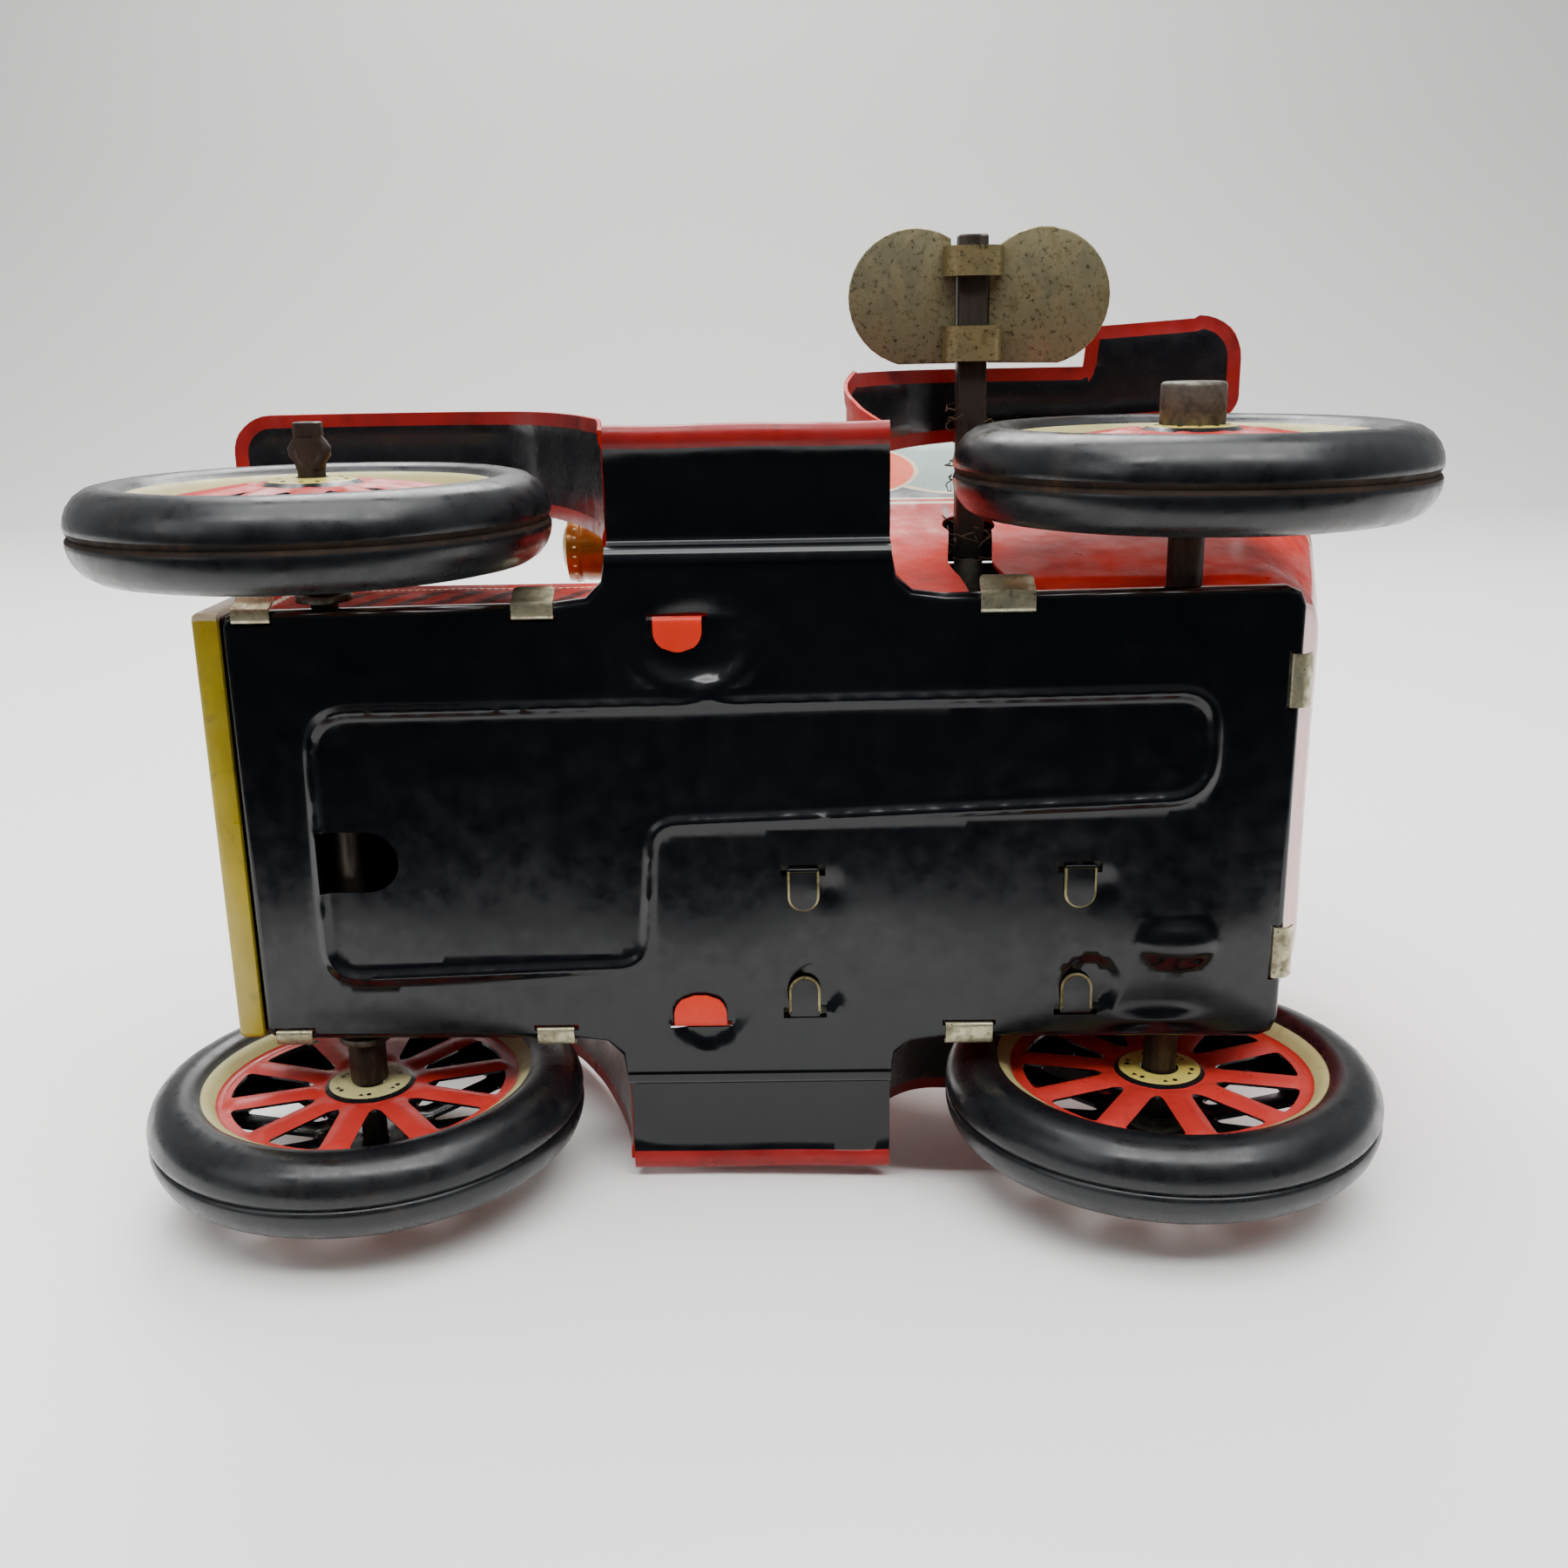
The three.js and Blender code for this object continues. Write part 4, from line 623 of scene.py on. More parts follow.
def make_fender(front, side, label):
    path, s = catmull(FRONT_PATH if front else REAR_PATH, 160)
    length = s[-1]

    def edge_y(t, outer):
        """Inner and outer edge of the strip, as a function of the fraction along it."""
        if front:
            return np.interp(t, [0, 0.1, 1], [45.2, 46.0, 46.0]) if outer else np.interp(t, [0, 1], [32.2, 32.7])
        if outer:
            y = np.interp(t, [0, 0.08, 0.17, 0.32, 0.45, 0.6, 1], [45.3, 47.0, 49.4, 51.9, 53.0, 54.8, 56.8])
            return y
        return np.interp(t, [0, 0.05, 0.2, 0.5, 0.9, 1], [33.2, 34.6, 39.4, 40.9, 43.0, 43.6])

    n = 300
    ts = np.linspace(0, 1, n)
    inner = [(t * length, float(edge_y(t, False))) for t in ts]
    outer = [(t * length, float(edge_y(t, True))) for t in ts]
    if not front and side > 0:
        # cut back where the key's wings swing past
        xz = np.column_stack([np.interp(ts * length, s, path[:, 0]), np.interp(ts * length, s, path[:, 1])])
        near = np.hypot(xz[:, 0] - ARBOR[0], xz[:, 1] - ARBOR[1])
        outer = [(u, min(v, 50.5 + 8 * float(smooth(np.array([d]), 17.75, 17.95)[0]))) for (u, v), d in zip(outer, near)]
    corner = 5.0 if front else 5.5
    tip = []
    for k in range(9):
        a = math.pi / 2 * (1 - k / 8)
        tip.append((length - corner + corner * math.cos(a), outer[-1][1] - corner + corner * math.sin(a)))
    tip2 = []
    for k in range(9):
        a = -math.pi / 2 * (k / 8)
        r = 4.0 if front else 3.0
        tip2.append((length - r + r * math.cos(a), inner[-1][1] + r + r * math.sin(a)))
    keep_o = [p for p in outer if p[0] < length - corner - 0.5]
    keep_i = [p for p in inner if p[0] < length - (4.5 if front else 3.5)]
    outline = keep_o + tip + tip2 + keep_i[::-1]
    wobble = rng.uniform(0, 6)

    hem_w = 1.7
    border = keep_o + tip + tip2 + keep_i[::-1]

    def rim_dist(u, v):
        return to_line(u, v, border, closed=False)

    def place(u, v):
        x = np.interp(u, s, path[:, 0])
        z = np.interp(u, s, path[:, 1])
        du = 0.6
        tx = np.interp(u + du, s, path[:, 0]) - np.interp(u - du, s, path[:, 0])
        tz = np.interp(u + du, s, path[:, 1]) - np.interp(u - du, s, path[:, 1])
        ln = np.hypot(tx, tz)
        nx, nz = -tz / ln, tx / ln
        if not front:
            nx, nz = -nx, -nz
        if not front:
            nx, nz = tz / ln, -tx / ln
        # the strip is crowned, and the hem stands proud on the underside
        d = rim_dist(u, v)
        near_tip = smooth(u, length - 14, length - 2)
        ripple = 0.16 * np.sin(u * 2.1 + wobble) * near_tip * (1 - smooth(d, 0.2, 2.2))
        lift = -0.28 * (1 - smooth(d, hem_w - 0.12, hem_w + 0.12)) + ripple
        if front:
            return x + nx * lift, side * v, z + nz * lift
        return x - nx * lift, side * v, z - nz * lift

    # the hem's inner edge, one hem's width in from the border
    b = np.array(dense(border, 0.6, False))
    run = np.gradient(b, axis=0)
    run /= np.maximum(np.hypot(run[:, 0], run[:, 1]), 1e-9)[:, None]
    line = b + hem_w * np.column_stack([run[:, 1], -run[:, 0]])
    clear = (rim_dist(line[:, 0], line[:, 1]) > hem_w - 0.03) & (line[:, 0] > 0.2) & inside(line[:, 0], line[:, 1], outline)
    hem_line = [tuple(q) for q in line[clear]]
    pick = lambda u, v: (rim_dist(u, v) < hem_w).astype(int)
    kind = "front" if front else "rear"
    obj = sheet(f"{kind}_mudguard_{label}", outline, place, ["black_in", "hem", "red"], step=1.1, pick=pick,
                guides=[(hem_line, False)], nodes=[f"{kind}_fender_{label}"], slot="black_enamel", sharp=60)
    # find which way is up and thicken that way, the upper side being painted red
    mesh = obj.data
    mid = max(mesh.polygons, key=lambda p: p.center.z)
    if mid.normal.z > 0:
        mesh.flip_normals()
    mod = obj.modifiers.new("tin", "SOLIDIFY")
    mod.thickness = TIN * MM
    mod.offset = -1
    mod.material_offset = 2
    mod.material_offset_rim = 1
    dg = bpy.context.evaluated_depsgraph_get()
    done = bpy.data.meshes.new_from_object(obj.evaluated_get(dg))
    obj.modifiers.clear()
    obj.data = done
    for p in done.polygons:
        p.use_smooth = True
    done.set_sharp_from_angle(angle=math.radians(60))


# ------------------------------------------------------------------ wheels
def make_wheel_half(name, x, y, outward, bore, body, phase, node, hub_mat, dome):
    """A pressed half: dished disc with ten crowned spokes, a cream band and half of the hollow tyre."""
    step = 2 * math.pi / 10

    def window(a):
        r0, r1, half = 7.0, 16.7, 1.75
        g = lambda r: math.asin(min(half / r, 1))
        lo = a + g(r0 + 0.8)
        hi = a + step - g(r0 + 0.8)
        lo1 = a + g(r1)
        hi1 = a + step - g(r1)
        mid = (lo + hi) / 2
        pts = [(r0 * math.cos(mid), r0 * math.sin(mid)), ((r0 + 0.8) * math.cos(lo), (r0 + 0.8) * math.sin(lo))]
        pts += [(r1 * math.cos(lo1 + (hi1 - lo1) * k / 5), r1 * math.sin(lo1 + (hi1 - lo1) * k / 5)) for k in range(6)]
        pts += [((r0 + 0.8) * math.cos(hi), (r0 + 0.8) * math.sin(hi))]
        return rounded(pts, [0.3, 0.4, 1.3, 0, 0, 0, 0, 1.3, 0.4], 4)

    spokes = [phase + k * step for k in range(10)]
    holes = [window(a) for a in spokes] + [circle(0, 0, bore, 20)]

    def place(u, v):
        r = np.hypot(u, v)
        a = np.arctan2(v, u)
        k = np.round((a - phase) / step)
        w = r * np.sin(a - phase - k * step)
        crown = np.clip(1 - (w / 1.8) ** 2, 0, 1) * smooth(r, 5.0, 7.5) * (1 - smooth(r, 16.2, 17.6))
        o = 2.45 + dome * (1 - np.clip(r / 17, 0, 1) ** 1.3) + 0.55 * crown + 0.45 * (1 - smooth(r, 5.1, 6.0))
        o = o - 0.25 * np.exp(-((r - 5.4) / 0.25) ** 2)
        return x + u, y + outward * o, AXLE_Z + v

    def pick(u, v):
        r = np.hypot(u, v)
        a = np.arctan2(v, u)
        dots = (np.abs(r - 3.9) < 0.28) & (np.abs(((a * 6 / (2 * math.pi)) % 1) - 0.5) < 0.05)
        out = np.where(r < 4.95, 1, np.where(r < 5.5, 2, 0))
        return np.where(dots, 2, out)

    slot = "wheel_red"
    sheet(name + "_disc", circle(0, 0, 17.9, 90), place, ["spoke", hub_mat, "tyre", "black_in"], holes=holes,
          guides=[(circle(0, 0, 4.95, 40), True), (circle(0, 0, 5.5, 44), True)], step=0.75, pick=pick,
          body=body, solid=TIN, rim_mat=3, flip=(outward > 0), nodes=[node], slot=slot, sharp=55)
    dots = []
    for k in range(6):
        a = phase + math.pi / 3 * k
        o = 2.93 + dome * 0.85
        dots.append(lathe([(0, o - 0.1), (0.3, o - 0.1), (0.3, o + 0.02), (0, o + 0.02)],
                          (x + 3.9 * math.cos(a), y, AXLE_Z + 3.9 * math.sin(a)), seg=12, sign=outward))
    v, f, p = joined(dots)
    fix_normals(build(name + "_dots", v, f, ["black_in"], p, body=body, slot=slot))
    lip = -0.06 if outward > 0 else 0.08
    profile = [(17.5, 2.1), (17.5, 2.5), (17.95, 2.5), (18.3, 2.75), (18.8, 3.5), (19.6, 3.95), (19.9, 4.0),
               (20.3, 4.45), (21.2, 4.9), (22.4, 5.0), (23.8, 4.7), (24.9, 4.0), (25.7, 3.0), (26.12, 2.0),
               (26.28, 1.2), (26.27, 0.6), (26.1, 0.3), (25.9, lip), (25.4, lip), (25.3, 1.8), (24.5, 3.4),
               (22.6, 4.45), (21.3, 4.4), (20.2, 3.7), (18.6, 2.3), (18.2, 2.1), (17.5, 2.1)]
    zones = [0, 0, 0, 1, 1, 1, 2, 2, 2, 2, 2, 2, 2, 2, 2, 3, 3, 2] + [4] * 8
    turned(name + "_tyre", profile, (x, y, AXLE_Z), ["spoke", "cream", "tyre", "seam" if y > 0 else "tyre", "black_in"], seg=128,
           sign=outward, zones=zones, body=body, slot=slot, sharp=50)


PHASES = {"front_left": 0.10, "front_right": 0.31, "rear_left": 0.05, "rear_right": 0.24}


def make_wheels():
    bodies = {"front_left": "front_wheel_l", "front_right": "front_wheel_r", "rear_left": "rear_wheels",
              "rear_right": "rear_wheels"}
    for key, (x, y, side) in WHEELS.items():
        end, hand = key.split("_")
        bore = 1.85 if end == "front" else 2.33
        for facing, half in ((side, "outer"), (-side, "inner")):
            hub = "cream" if key == "front_right" else "hub"
            turn = PHASES[key] + (0 if facing > 0 else math.pi / 10)
            make_wheel_half(f"{key}_{half}", x, y, facing, bore, bodies[key], turn,
                            f"{end}_wheel_{hand}_{half}", hub, 2.2 if half == "outer" else 0.0)


# ------------------------------------------------------------------ key and shaft
def make_key():
    ax, az = ARBOR
    cl, cr = (-19.3, 59.45), (-35.6, 59.35)
    left = circle(*cl, 8.35, 22, -math.pi / 2, math.pi * 0.74)
    right = circle(*cr, 8.4, 22, math.pi * 0.26, math.pi * 1.5)
    outline = [(cl[0] + 2.0, 51.3)] + left[2:] + [(-23.9, 64.5), (-24.3, 65.4), (-29.0, 65.4), (-29.6, 64.5)] + right[:-2]
    outline = outline + [(cr[0] - 2.0, 51.2)]
    for part, x_in, sgn in (("a", ax + 2.02, 1), ("b", ax - 2.02, -1)):
        pts = [p for p in outline if (p[0] - x_in) * sgn > 0.15]
        wing = [(x_in, 51.35)] + pts + [(x_in, 65.3)] if sgn > 0 else [(x_in, 65.3)] + pts + [(x_in, 51.35)]
        m = len(wing)
        verts = [(x, y, az - 0.55) for x, y in wing] + [(x, y, az + 0.55) for x, y in wing]
        faces = [tuple(range(m)), tuple(reversed(range(m, 2 * m)))]
        faces += [(k, k + m, (k + 1) % m + m, (k + 1) % m) for k in range(m)]
        fix_normals(build(f"key_wing_{part}", verts, faces, ["key"], body="winding", bevel=0.3,
                          nodes=["winding_key"] if part == "a" else [], slot="key_brass", sharp=45))
    for label, (y0, y1) in (("low", (51.6, 55.9)), ("high", (61.9, 65.5))):
        for face in (-1, 1):
            xz = [(-3.55, 0.55), (-3.2, 0.7), (-2.9, 1.3), (-2.75, 2.2), (-2.3, 2.75), (-1.2, 2.92), (0, 2.95),
                  (1.2, 2.92), (2.3, 2.75), (2.75, 2.2), (2.9, 1.3), (3.2, 0.7), (3.55, 0.55)]
            path = [(ax + x, (y0 + y1) / 2, az + face * z) for x, z in xz]
            v, f = bar(path, y1 - y0, 0.7 if face < 0 else -0.7, (0, 1, 0))
            fix_normals(build(f"key_strap_{label}_{'near' if face < 0 else 'far'}", v, f, ["strap"], body="winding",
                              slot="key_brass", sharp=50))
    h = 1.85
    v, f = block(ax - h, ax + h, 26.5, 66.9, az - h, az + h)
    fix_normals(build("winding_square", v, f, ["axle"], body="winding", nodes=["winding_arbor"], slot="axle_steel",
                      bevel=0.35))
    turned("winding_round", [(0, -24.4), (1.9, -24.4), (1.9, 26.6), (0, 26.6)], (ax, 0, az), ["steel"], seg=28,
           body="winding", slot="axle_steel")


# ------------------------------------------------------------------ axles
def make_axles():
    x = REAR_X
    turned("rear_axle_rod", [(0, -44.6), (1.9, -44.6), (2.03, -44.4), (2.03, 48.7), (1.9, 48.9), (0, 48.9)],
           (x, 0, AXLE_Z), ["axle"], seg=40, body="rear_wheels", nodes=["rear_axle"], slot="axle_steel")
    for side, label, y in ((1, "left", 40.0), (-1, "right", -35.7)):
        profile = [(0, 9.45), (3.0, 9.42), (3.4, 9.34), (3.56, 9.14), (3.6, 8.9), (3.6, 4.4), (3.45, 4.2), (3.45, 3.4),
                   (3.6, 3.2), (3.6, 2.95), (2.4, 2.95), (2.4, 9.1), (0, 9.1)]
        turned(f"hub_cap_shell_{label}", profile, (x, y, AXLE_Z), ["steel"], seg=48, sign=side, body="rear_wheels",
               nodes=[f"hub_cap_{label}"], slot="axle_steel", sharp=50)
    fx = FRONT_X
    parts = [lathe([(0, -46.2), (1.5, -46.2), (1.55, -45.9), (1.55, 45.0), (0, 45.0)], (fx, 0, AXLE_Z), seg=28)]
    for s in (1, -1):
        top = 46.7 if s > 0 else 46.1
        stations = [(41.6, 1.5, 1.5), (42.3, 1.65, 1.5), (43.0, 2.25, 1.15), (43.9, 2.35, 1.0), (44.6, 1.9, 1.1),
                    (45.0, 1.55, 1.25), (45.4, 1.6, 1.3), (top - 0.1, 1.55, 1.3), (top, 1.35, 1.1)]
        v, f = [], []
        m = 16
        for yy, a, b in stations:
            for k in range(m):
                t = 2 * math.pi * (k + 0.5) / m
                c, q = math.cos(t), math.sin(t)
                pw = 0.55
                v.append((fx + a * math.copysign(abs(c) ** pw, c), s * yy, AXLE_Z + b * math.copysign(abs(q) ** pw, q)))
        for i in range(len(stations) - 1):
            for k in range(m):
                a, b = i * m + k, i * m + (k + 1) % m
                f.append((a, b, b + m, a + m))
        f.append(tuple(range(len(v) - m, len(v))))
        parts.append((v, f))
    v, f, p = joined(parts)
    fix_normals(build("front_axle_rod", v, f, ["axle"], p, nodes=["front_axle"], slot="axle_steel", sharp=45))
    for s, label in ((1, "left"), (-1, "right")):
        hub = WHEELS[f"front_{label}"][1]
        a, b = sorted((s * 27.8, hub - s * 3.3))
        turned(f"rolled_sleeve_{label}", [(1.85, a), (2.2, a), (2.28, a + 0.2), (2.28, b - 0.2), (2.2, b), (1.85, b),
                                          (1.85, a)], (fx, 0, AXLE_Z), ["axle"], seg=32,
               nodes=[f"axle_sleeve_{label}"], slot="axle_steel")
        a, b = sorted((s * 26.75, s * 27.5))
        turned(f"flanged_washer_{label}", [(1.85, a), (3.1, a), (3.2, a + 0.15), (3.2, b - 0.15), (3.1, b), (1.85, b),
                                           (1.85, a)], (fx, 0, AXLE_Z), ["steel"], seg=36,
               nodes=[f"axle_washer_{label}"], slot="axle_steel")


def make_lint():
    """Hairs caught round the key's shaft where it goes through the body."""
    parts = []
    ax, az = ARBOR
    for k in range(26):
        a, y = rng.uniform(0, 2 * math.pi), rng.uniform(27, 46)
        pts = []
        for t in np.linspace(0, 1, 9):
            a += rng.uniform(-0.1, 0.75)
            q = 2.7 + rng.uniform(-0.2, 0.9) * (1.4 if y < 34 else 0.6)
            y += rng.uniform(-0.9, 0.6)
            y = max(y, 26.5)
            pts.append((ax + q * math.cos(a), y, az + q * math.sin(a)))
        v, f = bar(pts, 0.12, 0.12, (0.3, 1, 0.2))
        parts.append((v, f))
    v, f, p = joined(parts)
    fix_normals(build("shaft_lint", v, f, ["lint"], p, body="winding", slot="axle_steel"))


# ------------------------------------------------------------------ tub
SECTION = [(25.3, 0.8), (25.35, 2.4), (29.4, 26), (30.1, 31), (31.9, 38), (34.1, 45), (39.8, 55), (40.9, 60), (40.9, 80)]
REAR_X_AT = [(-60.1, 0.8), (-60.1, 2.4), (-66.6, 13), (-71.8, 30), (-75.7, 45), (-78.1, 60), (-79.6, 68)]
TOP_EDGE = [(14.6, 50), (11.5, 54.5), (7, 58.6), (0, 60.8), (-55, 61.9), (-70, 64.2), (-80, 67.6)]
TUB_FRONT = 14.5
# printed lobes along the flare: centre, half sizes and colour
LOBES = ((2, 50.5, 12.0, 6.0, 3), (-30, 51, 15, 6.2, 3), (-62, 51.5, 11, 6.0, 3), (-12, 49.9, 8.5, 5.0, 4),
         (-46, 50.1, 8.5, 5.0, 4))


def tub_half(z):
    return np.interp(z, [p[1] for p in SECTION], [p[0] for p in SECTION])


def tub_rear(z):
    return np.interp(z, [p[1] for p in REAR_X_AT], [p[0] for p in REAR_X_AT])


def tub_path(z, u):
    """Point of the tub's wall at height z; u runs 0..1 down the left side, 1..2 round to the right-hand front."""
    half, rear = tub_half(z), tub_rear(z)
    r = 9.0 * smooth(z, 2, 20) + 1.5
    x0 = rear + r
    side = u
    # four spans: left side, left corner, rear, right corner, right side
    a = np.clip(side / 0.40, 0, 1)
    c1 = np.clip((side - 0.40) / 0.06, 0, 1) * math.pi / 2
    b = np.clip((side - 0.46) / 0.08, 0, 1)
    c2 = np.clip((side - 0.54) / 0.06, 0, 1) * math.pi / 2
    d = np.clip((side - 0.60) / 0.40, 0, 1)
    x = np.where(side <= 0.40, TUB_FRONT + (x0 - TUB_FRONT) * a, 0.0)
    y = np.where(side <= 0.40, half, 0.0)
    m = (side > 0.40) & (side <= 0.46)
    x = np.where(m, x0 - r * np.sin(c1), x)
    y = np.where(m, half - r + r * np.cos(c1), y)
    m = (side > 0.46) & (side <= 0.54)
    x = np.where(m, rear, x)
    y = np.where(m, (half - r) * (1 - 2 * b), y)
    m = (side > 0.54) & (side <= 0.60)
    x = np.where(m, x0 - r * np.cos(c2), x)
    y = np.where(m, -(half - r) - r * np.sin(c2), y)
    m = side > 0.60
    x = np.where(m, x0 + (TUB_FRONT - x0) * d, x)
    y = np.where(m, -half, y)
    return x, y


SPAN = 230.0   # the tub's wall unrolled is this long


def tub_u(x, z, left=True):
    """Where on the unrolled wall a point of the side lies."""
    r = 9.0 * smooth(np.array([z]), 2, 20)[0] + 1.5
    x0 = float(tub_rear(z)) + r
    a = (TUB_FRONT - x) / (TUB_FRONT - x0) * 0.40
    return (a if left else 1 - a) * SPAN


def make_tub():
    us = np.linspace(0, 1, 60)
    tops = []
    for u in us:
        z = 60.0
        for _ in range(6):
            x, _y = tub_path(np.array([z]), np.array([u]))
            z = float(np.interp(-x[0], [-p[0] for p in TOP_EDGE], [p[1] for p in TOP_EDGE]))
        tops.append((u * SPAN, z))
    on_side = lambda pts, left=True: [(tub_u(x, z, left), z) for x, z in pts]
    low = 2.35

    def bottom(u):
        return 0.9

    outline = [(0, 0.9)] + [(float(u), 0.9) for u in np.linspace(0, SPAN, 80)[1:-1]] + [(SPAN, 0.9)]
    ax, az = ARBOR
    hole = [(ax + 3.45 * math.cos(a), az + 0.3 + 3.45 * math.sin(a)) for a in np.linspace(-0.62, math.pi + 0.62, 16)]
    key = [(ax + 2.85, 0.6)] + hole + [(ax - 2.85, 0.6)]
    notch = [(REAR_X + 3.9 * math.cos(a), AXLE_Z + 3.9 * math.sin(a)) for a in np.linspace(-0.7, math.pi + 0.7, 16)]
    holes = [on_side(key), on_side(notch), on_side(notch, False)[::-1]]
    outline = [(0.0, 0.9), (SPAN, 0.9)] + tops[::-1]

    def zone(u, z):
        x, y = tub_path(z, u / SPAN)
        out = np.zeros(len(u), int)
        side = (u < 0.40 * SPAN) | (u > 0.6 * SPAN)
        # pale double line round the body, with a grey band over it
        out[(z > 41.4) & (z < 42.1)] = 1
        out[(z > 42.9) & (z < 43.4)] = 1
        out[(z >= 43.4) & (z < 58)] = 2
        # pale scroll and orange lobes on the flare, edged in cream
        for cx, cz, rx, rz, kind in LOBES:
            d = ((x - cx) / rx) ** 2 + ((z - cz) / rz) ** 2
            out = np.where(side & (d < 1.16) & (z > 43.9) & (z < 57.4), 1, out)
            out = np.where(side & (d < 1.0) & (z > 44.2) & (z < 57.2), kind, out)
        out = np.where((~side) & (z > 44.5) & (z < 57.4), 4, out)
        out = np.where((z > 58) & (z < 58.6), 1, out)
        # panel lines of a door
        edge = (np.abs(x + 4) < 0.22) | (np.abs(x + 24) < 0.22)
        # the plain red of the rear face takes the lighter, glossier copy: painted sheen
        out = np.where((out == 0) & (u > 0.445 * SPAN) & (u < 0.555 * SPAN), 6, out)
        out = np.where(side & edge & (z > 6) & (z < 41), 5, out)
        out = np.where((z > 2) & (z < 41.4) & ((np.abs(z - 38.6) < 0.2)) & side, 5, out)
        return out

    def place(u, z):
        x, y = tub_path(z, u / SPAN)
        # embossed sill moulding behind the arch, and slight dents
        left = u < 0.40 * SPAN
        bulge = 1.3 * np.exp(-(((z - 9.5) / 1.1) ** 2)) * smooth(-x, 30, 34) * (1 - smooth(-x, 56, 60))
        bulge = bulge + 0.9 * np.exp(-(((z - 3.9) / 0.7) ** 2)) * smooth(-x, 31, 36) * (1 - smooth(-x, 52, 58))
        dent = 0.14 * np.sin(x / 8.0 + z / 11.0) * np.cos(z / 6.5)
        off = np.where((u < 0.40 * SPAN) | (u > 0.6 * SPAN), -bulge * 0.9 + dent * 0.6 - 0.15, 0.0)
        y = y + np.sign(y) * off * (np.abs(y) > 20)
        rear = (u > 0.46 * SPAN) & (u < 0.54 * SPAN)
        x = x + np.where(rear, 0.1 * np.cos(y / 9) * np.sin(z / 9), 0)
        return x, y, z

    lines = [([(0.0, z), (SPAN, z)], False) for z in (41.4, 42.1, 42.9, 43.4, 58.0, 58.6)]
    lines += [([(0.4 * SPAN, 44.5), (0.6 * SPAN, 44.5), (0.6 * SPAN, 57.4), (0.4 * SPAN, 57.4)], True)]
    for left in (True, False):
        for cx, cz, rx, rz, _ in LOBES:
            for q in (1.0, 1.077):
                ring = [(cx + rx * q * math.cos(a), cz + rz * q * math.sin(a)) for a in np.linspace(0, 2 * math.pi, 37)[:-1]]
                lines.append(([p for p in on_side(ring, left) if 43.5 < p[1] < 57.9 and 0.3 < p[0] < SPAN - 0.3], True))
        for x in (-3.78, -4.22, -23.78, -24.22):
            lines.append((on_side([(x, z) for z in np.linspace(6, 41, 15)], left), False))
    obj = sheet("tub_wall", outline, place, ["red", "line", "grey", "blue", "orange", "maroon", "shine", "black_in"], holes=holes,
                guides=lines, step=1.15, pick=zone, sharp=50)
    tin_walls(obj, 7)
    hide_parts("body_shell")
    # rolled bead along the rim
    ring = []
    for u, z in tops:
        x, y = tub_path(np.array([z]), np.array([u / SPAN]))
        ring.append((float(x[0]) + (0.25 if x[0] < -68 else 0.0), float(y[0]) * 0.997, z - 0.4))
    tube_along("rim_bead", ring, 0.55, "maroon", "red_litho")


def tin_walls(obj, inner_mat, thickness=TIN):
    """Thicken a wall inwards, away from the car's middle line."""
    mesh = obj.data
    centre = Vector((-30 * MM, 0, 30 * MM))
    out = sum(((p.center - centre).dot(p.normal) > 0) * p.area for p in mesh.polygons)
    total = sum(p.area for p in mesh.polygons)
    if out < total / 2:
        mesh.flip_normals()
    mod = obj.modifiers.new("tin", "SOLIDIFY")
    mod.thickness = thickness * MM
    mod.offset = -1
    mod.material_offset = inner_mat
    dg = bpy.context.evaluated_depsgraph_get()
    done = bpy.data.meshes.new_from_object(obj.evaluated_get(dg))
    obj.modifiers.clear()
    obj.data = done
    done.polygons.foreach_set("use_smooth", [True] * len(done.polygons))
    done.set_sharp_from_angle(angle=math.radians(50))


def tube_along(name, points, r, mat, slot, body="car", seg=8):
    pts = [Vector(p) for p in points]
    verts, faces = [], []
    n = len(pts)
    for i, p in enumerate(pts):
        t = (pts[min(i + 1, n - 1)] - pts[max(i - 1, 0)]).normalized()
        side = t.cross(Vector((0, 0, 1)))
        side = side.normalized() if side.length > 1e-4 else Vector((1, 0, 0))
        up = side.cross(t)
        for k in range(seg):
            a = 2 * math.pi * k / seg
            verts.append(tuple(p + side * r * math.cos(a) + up * r * math.sin(a)))
    for i in range(n - 1):
        for k in range(seg):
            a, b = i * seg + k, i * seg + (k + 1) % seg
            faces.append((a, b, b + seg, a + seg))
    faces += [tuple(range(seg)), tuple((n - 1) * seg + k for k in reversed(range(seg)))]
    return fix_normals(build(name, verts, faces, [mat], body=body, slot=slot, sharp=60))


# ------------------------------------------------------------------ bonnet
def hood_profile(n=70):
    y = WALL_Y - 0.03
    top = 36.4
    pts = [(y, 0.9), (y, 24.0)]

    def bez(p0, p1, p2, p3, k):
        return [tuple(sum(c * q[i] for c, q in zip(((1 - t) ** 3, 3 * t * (1 - t) ** 2, 3 * t * t * (1 - t), t ** 3),
                                                    (p0, p1, p2, p3))) for i in range(2))
                for t in np.linspace(0, 1, k)[1:]]

    pts += bez((y, 24), (y, 32), (y - 7, top - 0.5), (9, top), 14)
    pts += [(-9, top)]
    pts += bez((-9, top), (7 - y, top - 0.5), (-y, 32), (-y, 24), 14)
    pts += [(-y, 0.9)]
    return pts


